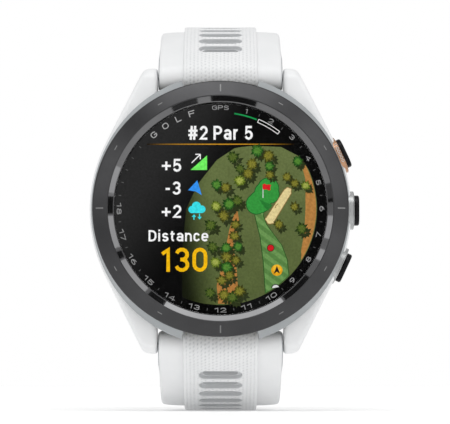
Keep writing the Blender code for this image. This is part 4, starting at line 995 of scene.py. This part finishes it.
def make_markers():
    art("map_flag_pole", stroke([(6.8, 1.75), (6.8, 3.4)], 0.15, srgb(196, 206, 200)), 9.6)
    flag = [(6.75, 3.9), (7.05, 4.0), (7.4, 3.82), (7.75, 3.9), (8.1, 3.78), (7.95, 3.35), (8.0, 2.98),
            (7.7, 2.9), (7.35, 3.1), (7.0, 3.05), (6.75, 3.12)]
    art("map_flag", outline(flag, srgb(212, 30, 36)), 10.2)
    for name, x, y, radius, colour, steps, layer in (
            ("dot_rim", 8.0, -6.3, 0.60, (60, 30, 22), 28, 9),
            ("dot", 8.0, -6.3, 0.48, (206, 28, 34), 28, 9.8),
            ("marker", 9.0, -9.85, 0.90, (226, 160, 24), 40, 9),
            ("marker_top", 9.0, -9.62, 0.66, (240, 182, 44), 40, 9.8)):
        art(f"map_{name}", spot(x, y, radius, srgb(*colour), steps), layer)
    arrow = [(9.0, -9.15), (9.52, -10.45), (9.0, -10.1), (8.48, -10.45)]
    art("map_marker_arrow", outline(arrow, srgb(36, 34, 28)), 10.6)
    art("map_ball_rim", outline(bend(8.8, -12.75, 0.68, 0.68, 9, 180, 16), srgb(40, 44, 40)), 9)
    art("map_ball", outline(bend(8.8, -12.75, 0.55, 0.55, 21.6, 176.4, 16), srgb(222, 224, 222)), 9.8)


def make_words():
    white, line = srgb(244, 244, 244), []
    art("word_title", lettering("#2 Par 5", (-5.2, 11.05, 5.2, 13.3), white), 9)
    for k in range(48):
        a, b = -11.8 + 23.6 * k / 48, -11.8 + 23.6 * (k + 1) / 48
        fade = max(0.0, 1 - ((a + b) / 2 / 11.8) ** 2) ** 1.2
        colour = tuple(fade * c for c in srgb(206, 146, 30))
        line += outline([(a, 10.27), (b, 10.27), (b, 10.43), (a, 10.43)], colour)
    art("title_line", line, 3)
    for name, words, box in (("slope", "+5", (-9.45, 5.9, -6.25, 8.0)),
                             ("wind", "-3", (-8.9, 2.25, -6.35, 4.35)),
                             ("air", "+2", (-9.45, -1.5, -6.25, 0.6)),
                             ("distance", "Distance", (-11.5, -5.25, -1.95, -3.45))):
        art(f"word_{name}", lettering(words, box, white), 9)
    art("word_yards", lettering("130", (-9.5, -10.1, -2.1, -6.25), srgb(240, 184, 14), 0.15), 9)
    art("icon_slope", outline([(-4.8, 6.2), (-2.15, 6.2), (-2.15, 8.55)], srgb(112, 236, 96)), 9)
    art("icon_slope_arrow", stroke([(-4.6, 7.35), (-3.3, 8.65)], 0.17, white) + stroke(
        [(-4.0, 8.72), (-3.24, 8.72), (-3.24, 7.96)], 0.17, white), 9)
    dart = [(-3.72, 4.55), (-3.0, 2.15), (-3.95, 2.75), (-5.2, 2.95)]
    art("icon_wind", outline(dart, srgb(52, 144, 236)), 9)
    cyan = srgb(58, 222, 230)
    for k, (x, y, r) in enumerate(((-4.55, -0.15, 0.58), (-3.85, 0.4, 0.72), (-3.0, -0.1, 0.6))):
        art(f"icon_cloud_{k}", spot(x, y, r, cyan), 9 + 0.3 * k)
    art("icon_cloud_base", outline([(-4.7, -0.73), (-2.85, -0.7), (-2.85, 0.2), (-4.7, 0.2)], cyan), 10.2)
    arrows = stroke([(-4.25, -1.75), (-4.25, -1.2)], 0.17, cyan)
    arrows += outline([(-4.6, -1.32), (-3.9, -1.32), (-4.25, -0.9)], cyan)
    arrows += stroke([(-3.35, -1.3), (-3.35, -0.85)], 0.17, cyan)
    arrows += outline([(-3.7, -1.3), (-3.0, -1.3), (-3.35, -1.75)], cyan)
    art("icon_cloud_arrows", arrows, 9)


def make_ring():
    white, grey, numbers = srgb(244, 244, 244), srgb(150, 150, 150), []
    for n in range(1, 19):
        turn = radians(15 * n)
        tilt = -turn if n <= 6 else pi - turn
        half = 0.2 if n == 1 else 0.42 if n < 10 else 0.92
        numbers += lettering(str(n), (-half, -0.38, half, 0.38), grey, 0.15, tilt, polar(16.22, turn))
    art("hole_numbers", numbers, 8)
    ticks = []
    for n in [15 * k + 7.5 for k in range(1, 18)] + [277.5, 285, 292.5, 300, 307.5]:
        ticks += stroke([polar(16.05, radians(n)), polar(16.4, radians(n))], 0.1, srgb(92, 92, 92))
    art("hole_ticks", ticks, 8)
    ring = []
    for k in range(16):
        a, b = radians(8.3 + 13.8 * k / 16), radians(8.3 + 13.8 * (k + 1) / 16)
        ring += outline([polar(15.32, a), polar(15.32, b), polar(15.55, b), polar(15.55, a)],
                        srgb(26, 150, 78))
    art("score_arc", ring, 8)
    bar = []
    a, b = radians(23.2), radians(37.4)
    for r in (15.08, 15.6):
        bar += stroke([polar(r, a + (b - a) * k / 14) for k in range(15)], 0.1, white)
    for t in (a, b):
        bar += stroke([polar(15.08, t), polar(15.6, t)], 0.1, white)
    art("score_bar", bar, 8)
    letters = []
    for k, letter in enumerate("GOLF"):
        turn = radians(318 + 8.4 * k)
        half = 0.5 if letter != "L" else 0.42
        letters += lettering(letter, (-half, -0.48, half, 0.48), srgb(172, 172, 172), 0.15, -turn,
                             polar(15.95, turn))
    for k, letter in enumerate("GPS"):
        turn = radians(-3.3 + 3.3 * k)
        letters += lettering(letter, (-0.4, -0.36, 0.4, 0.36), grey, 0.15, -turn, polar(16.25, turn))
    art("ring_words", letters, 8)


def polar(radius, turn):
    """A point at a radius, turned clockwise from twelve."""
    return radius * sin(turn), radius * cos(turn)


def pill_near(x, y, a, b):
    """How far a point is from the line between a and b."""
    p = np.array([x, y])
    t = np.clip((p - a) @ (b - a) / ((b - a) @ (b - a)), 0, 1)
    return np.linalg.norm(p - a - t * (b - a))


# ---- buttons
BUTTON_HEIGHT, PILL_HALF, GUARD_R = 6.3, 0.95, 2.14
GUARD_RISE = 1.6  # how far the guards' front edge is drawn out, to reach the bezel


def from_axis(points, angle):
    """From a button's own axes (X along its length, Z out) to the watch's."""
    x, y, z = np.asarray(points, float).T
    c, s = cos(radians(angle)), sin(radians(angle))
    return np.stack([z * c - x * s, z * s + x * c, BUTTON_HEIGHT + y], -1)


def make_buttons():
    """Caps with stems, the guards round them and the top guard's six rings."""
    inner, outer = 21.55, 22.4
    cap = rounded_path([(0.75, 17.45), (0.8, 17.45), (0.8, inner), (1.5, inner, 0.12), (1.5, outer, 0.28),
                        (1.05, outer, 0.1), (0.95, outer - 0.08)], 4)
    low, high = 20.5, 21.5
    guard = rounded_path([(GUARD_R, high - 0.1), (GUARD_R, high, 0.16), (1.66, high, 0.14),
                          (1.66, high - 0.2)], 4)
    guard += [(1.66, low), (GUARD_R, low)]
    for name, angle, finish, slot in (("top", 25, COPPER, "copper_metal"), ("middle", 0, PALE, "pale_metal"),
                                      ("bottom", -25, PALE, "pale_metal")):
        points, faces = turned(cap, 64, False, PILL_HALF, 0.5)
        points = from_axis(points, angle)
        piece(f"button_{name}_cap", points, facing_out(points, faces), BLACK_METAL, f"{name}_button",
              [f"button_cap_{name}"], "black_metal", 40)
        points, faces = turned(guard, 64, True, PILL_HALF, 0.5)
        outer_side = np.hypot(np.maximum(np.abs(points[:, 0]) - PILL_HALF, 0), points[:, 1]) > 1.9
        points[outer_side & (points[:, 1] > 0), 1] *= GUARD_RISE
        points = from_axis(points, angle)
        piece(f"button_{name}_guard", points, facing_out(points, faces), finish, "case",
              [f"button_guard_{name}"], slot, 40)
    points, faces = [], []
    for index in range(6):
        x = 1.5 - 0.54 * index
        place = np.array([x, GUARD_RISE * sqrt(GUARD_R**2 - max(abs(x) - PILL_HALF, 0) ** 2), 21.14])
        faces += (len(points) + grid_faces(20, 6, True, True)).tolist()
        for i in range(20):
            turn = 2 * pi * i / 20
            for roll in np.arange(6) * 2 * pi / 6:
                radius = 0.2 + 0.06 * cos(roll)
                points.append(place + [radius * cos(turn), 0.06 * sin(roll), radius * sin(turn)])
    points = from_axis(points, 25)
    piece("button_top_guard_marks", points, facing_out(points, faces), BRIGHT, "case", ["button_guard_top"],
          "copper_metal", 60)


def main():
    make_case()
    make_bezel()
    make_ground()
    make_course()
    make_trees()
    make_markers()
    make_words()
    make_ring()
    make_buttons()
    make_lens()
    make_strap("upper", 1, UPPER, 3.3, "upper_strap", [])
    make_keeper("keeper_fixed", 59.0, "upper_strap")
    make_keeper("keeper_free", 52.2, "free_keeper")
    make_strap("lower", -1, LOWER, 2.6, "lower_strap", [LOWER - 12 - 4.6 * i for i in range(8)])


main()

# ---- finishes of the carried-over CAD nodes
slots = {entry["node"]: entry["material_slot"] for entry in frame["record"]["subparts"]}
for name, obj in frame["nodes"].items():
    look = SLOT_LOOKS.get(slots.get(name, ""), DARK)
    obj.data.materials.clear()
    obj.data.materials.append(look)
    if name in ("buckle_frame", "buckle_tongue", "buckle_pin"):
        edge = obj.modifiers.new("soft_edges", "BEVEL")
        edge.width, edge.segments, edge.angle_limit = 0.12 * MM, 2, radians(40)

# ---- floor, lights and camera
FLOOR_HEIGHT = -0.0324
EYE = (0, -0.4126, -0.028)
square = [(x, y, FLOOR_HEIGHT) for x, y in ((-3, -3), (3, -3), (3, 3), (-3, 3))]
mesh_object("floor", square, [(0, 1, 2, 3)], FLOOR)

sky = bpy.data.worlds.new("studio")
bpy.context.scene.world = sky
sky.use_nodes = True
background = sky.node_tree.nodes["Background"]
settle(background, Color=(1, 1, 1, 1))
path = sky.node_tree.nodes.new("ShaderNodeLightPath")
level = sky.node_tree.nodes.new("ShaderNodeMapRange")
settle(level, To_Min=0.64, To_Max=1.0)
sky.node_tree.links.new(path.outputs["Is Camera Ray"], level.inputs["Value"])
sky.node_tree.links.new(level.outputs["Result"], background.inputs["Strength"])

sun_data = bpy.data.lights.new("soft_sun", "SUN")
sun_data.energy = 1.25
sun_data.angle = radians(50)
sun = linked("soft_sun", sun_data)
sun.rotation_mode = "QUATERNION"
sun.rotation_quaternion = Vector((0.0, 0.57, -0.82)).to_track_quat("-Z", "Y")


def card(name, sectors, tone, distance=0.12):
    """A card where the chamfer mirrors it, in sectors of degrees from twelve. Only reflections show it."""
    slope = math.degrees(atan2(0.37, 0.81))
    points, faces = [], []
    for first, last in sectors:
        start, count = len(points), max(3, int((last - first) / 2))
        for turn in np.radians(first + (last - first) * np.arange(count + 1) / count):
            for tilt in np.radians([slope - 6, slope, slope + 6]):
                place = np.array([17.6 * sin(turn), -12.4, 17.6 * cos(turn)]) * MM
                normal = np.array([-sin(tilt) * sin(turn), -cos(tilt), -sin(tilt) * cos(turn)])
                ray = (place - EYE) / np.linalg.norm(place - EYE)
                points.append(place + distance * (ray - 2 * (ray @ normal) * normal))
        faces += (start + grid_faces(count + 1, 3, False, False)).tolist()
    material = bpy.data.materials.new(name)
    settle(nodes_of(material)[3], Base_Color=(0, 0, 0, 1), Specular_IOR_Level=0, Emission_Color=(1, 1, 1, 1),
           Emission_Strength=tone)
    obj = mesh_object(name, points, faces, material)
    for flag in ("visible_camera", "visible_diffuse", "visible_transmission", "visible_shadow"):
        setattr(obj, flag, False)


card("card_black", [(85, 87), (128, 145), (210, 220), (243, 247), (267, 276)], 0.0)
card("card_black_top", [(-5, 19)], 0.0, 0.06)
card("card_dim", [(77, 85)], 0.25)
card("card_dim_top", [(-26, -12)], 0.12, 0.06)
card("card_bright", [(94, 106), (112, 118), (222, 242), (249, 266), (278, 292)], 2.0)
upright = [(x, -0.45, z) for x, z in ((-0.06, -0.03), (0.06, -0.03), (0.06, 0.09), (-0.06, 0.09))]
mesh_object("dark_card", upright, [(0, 1, 2, 3)], RUBBER)

camera_data = bpy.data.cameras.new("camera")
camera_data.lens = 201.4
camera_data.sensor_width = 36
camera_data.shift_x, camera_data.shift_y = 0.01, -4.1 / 450
camera_data.clip_start, camera_data.clip_end = 0.01, 20
camera = linked("camera", camera_data)
camera.location = EYE
camera.rotation_mode = "QUATERNION"
camera.rotation_quaternion = (Vector((0, -0.0126, 0)) - Vector(EYE)).to_track_quat("-Z", "Y")
bpy.context.scene.camera = camera
bpy.context.scene.view_settings.view_transform = "Standard"
bpy.context.view_layer.update()
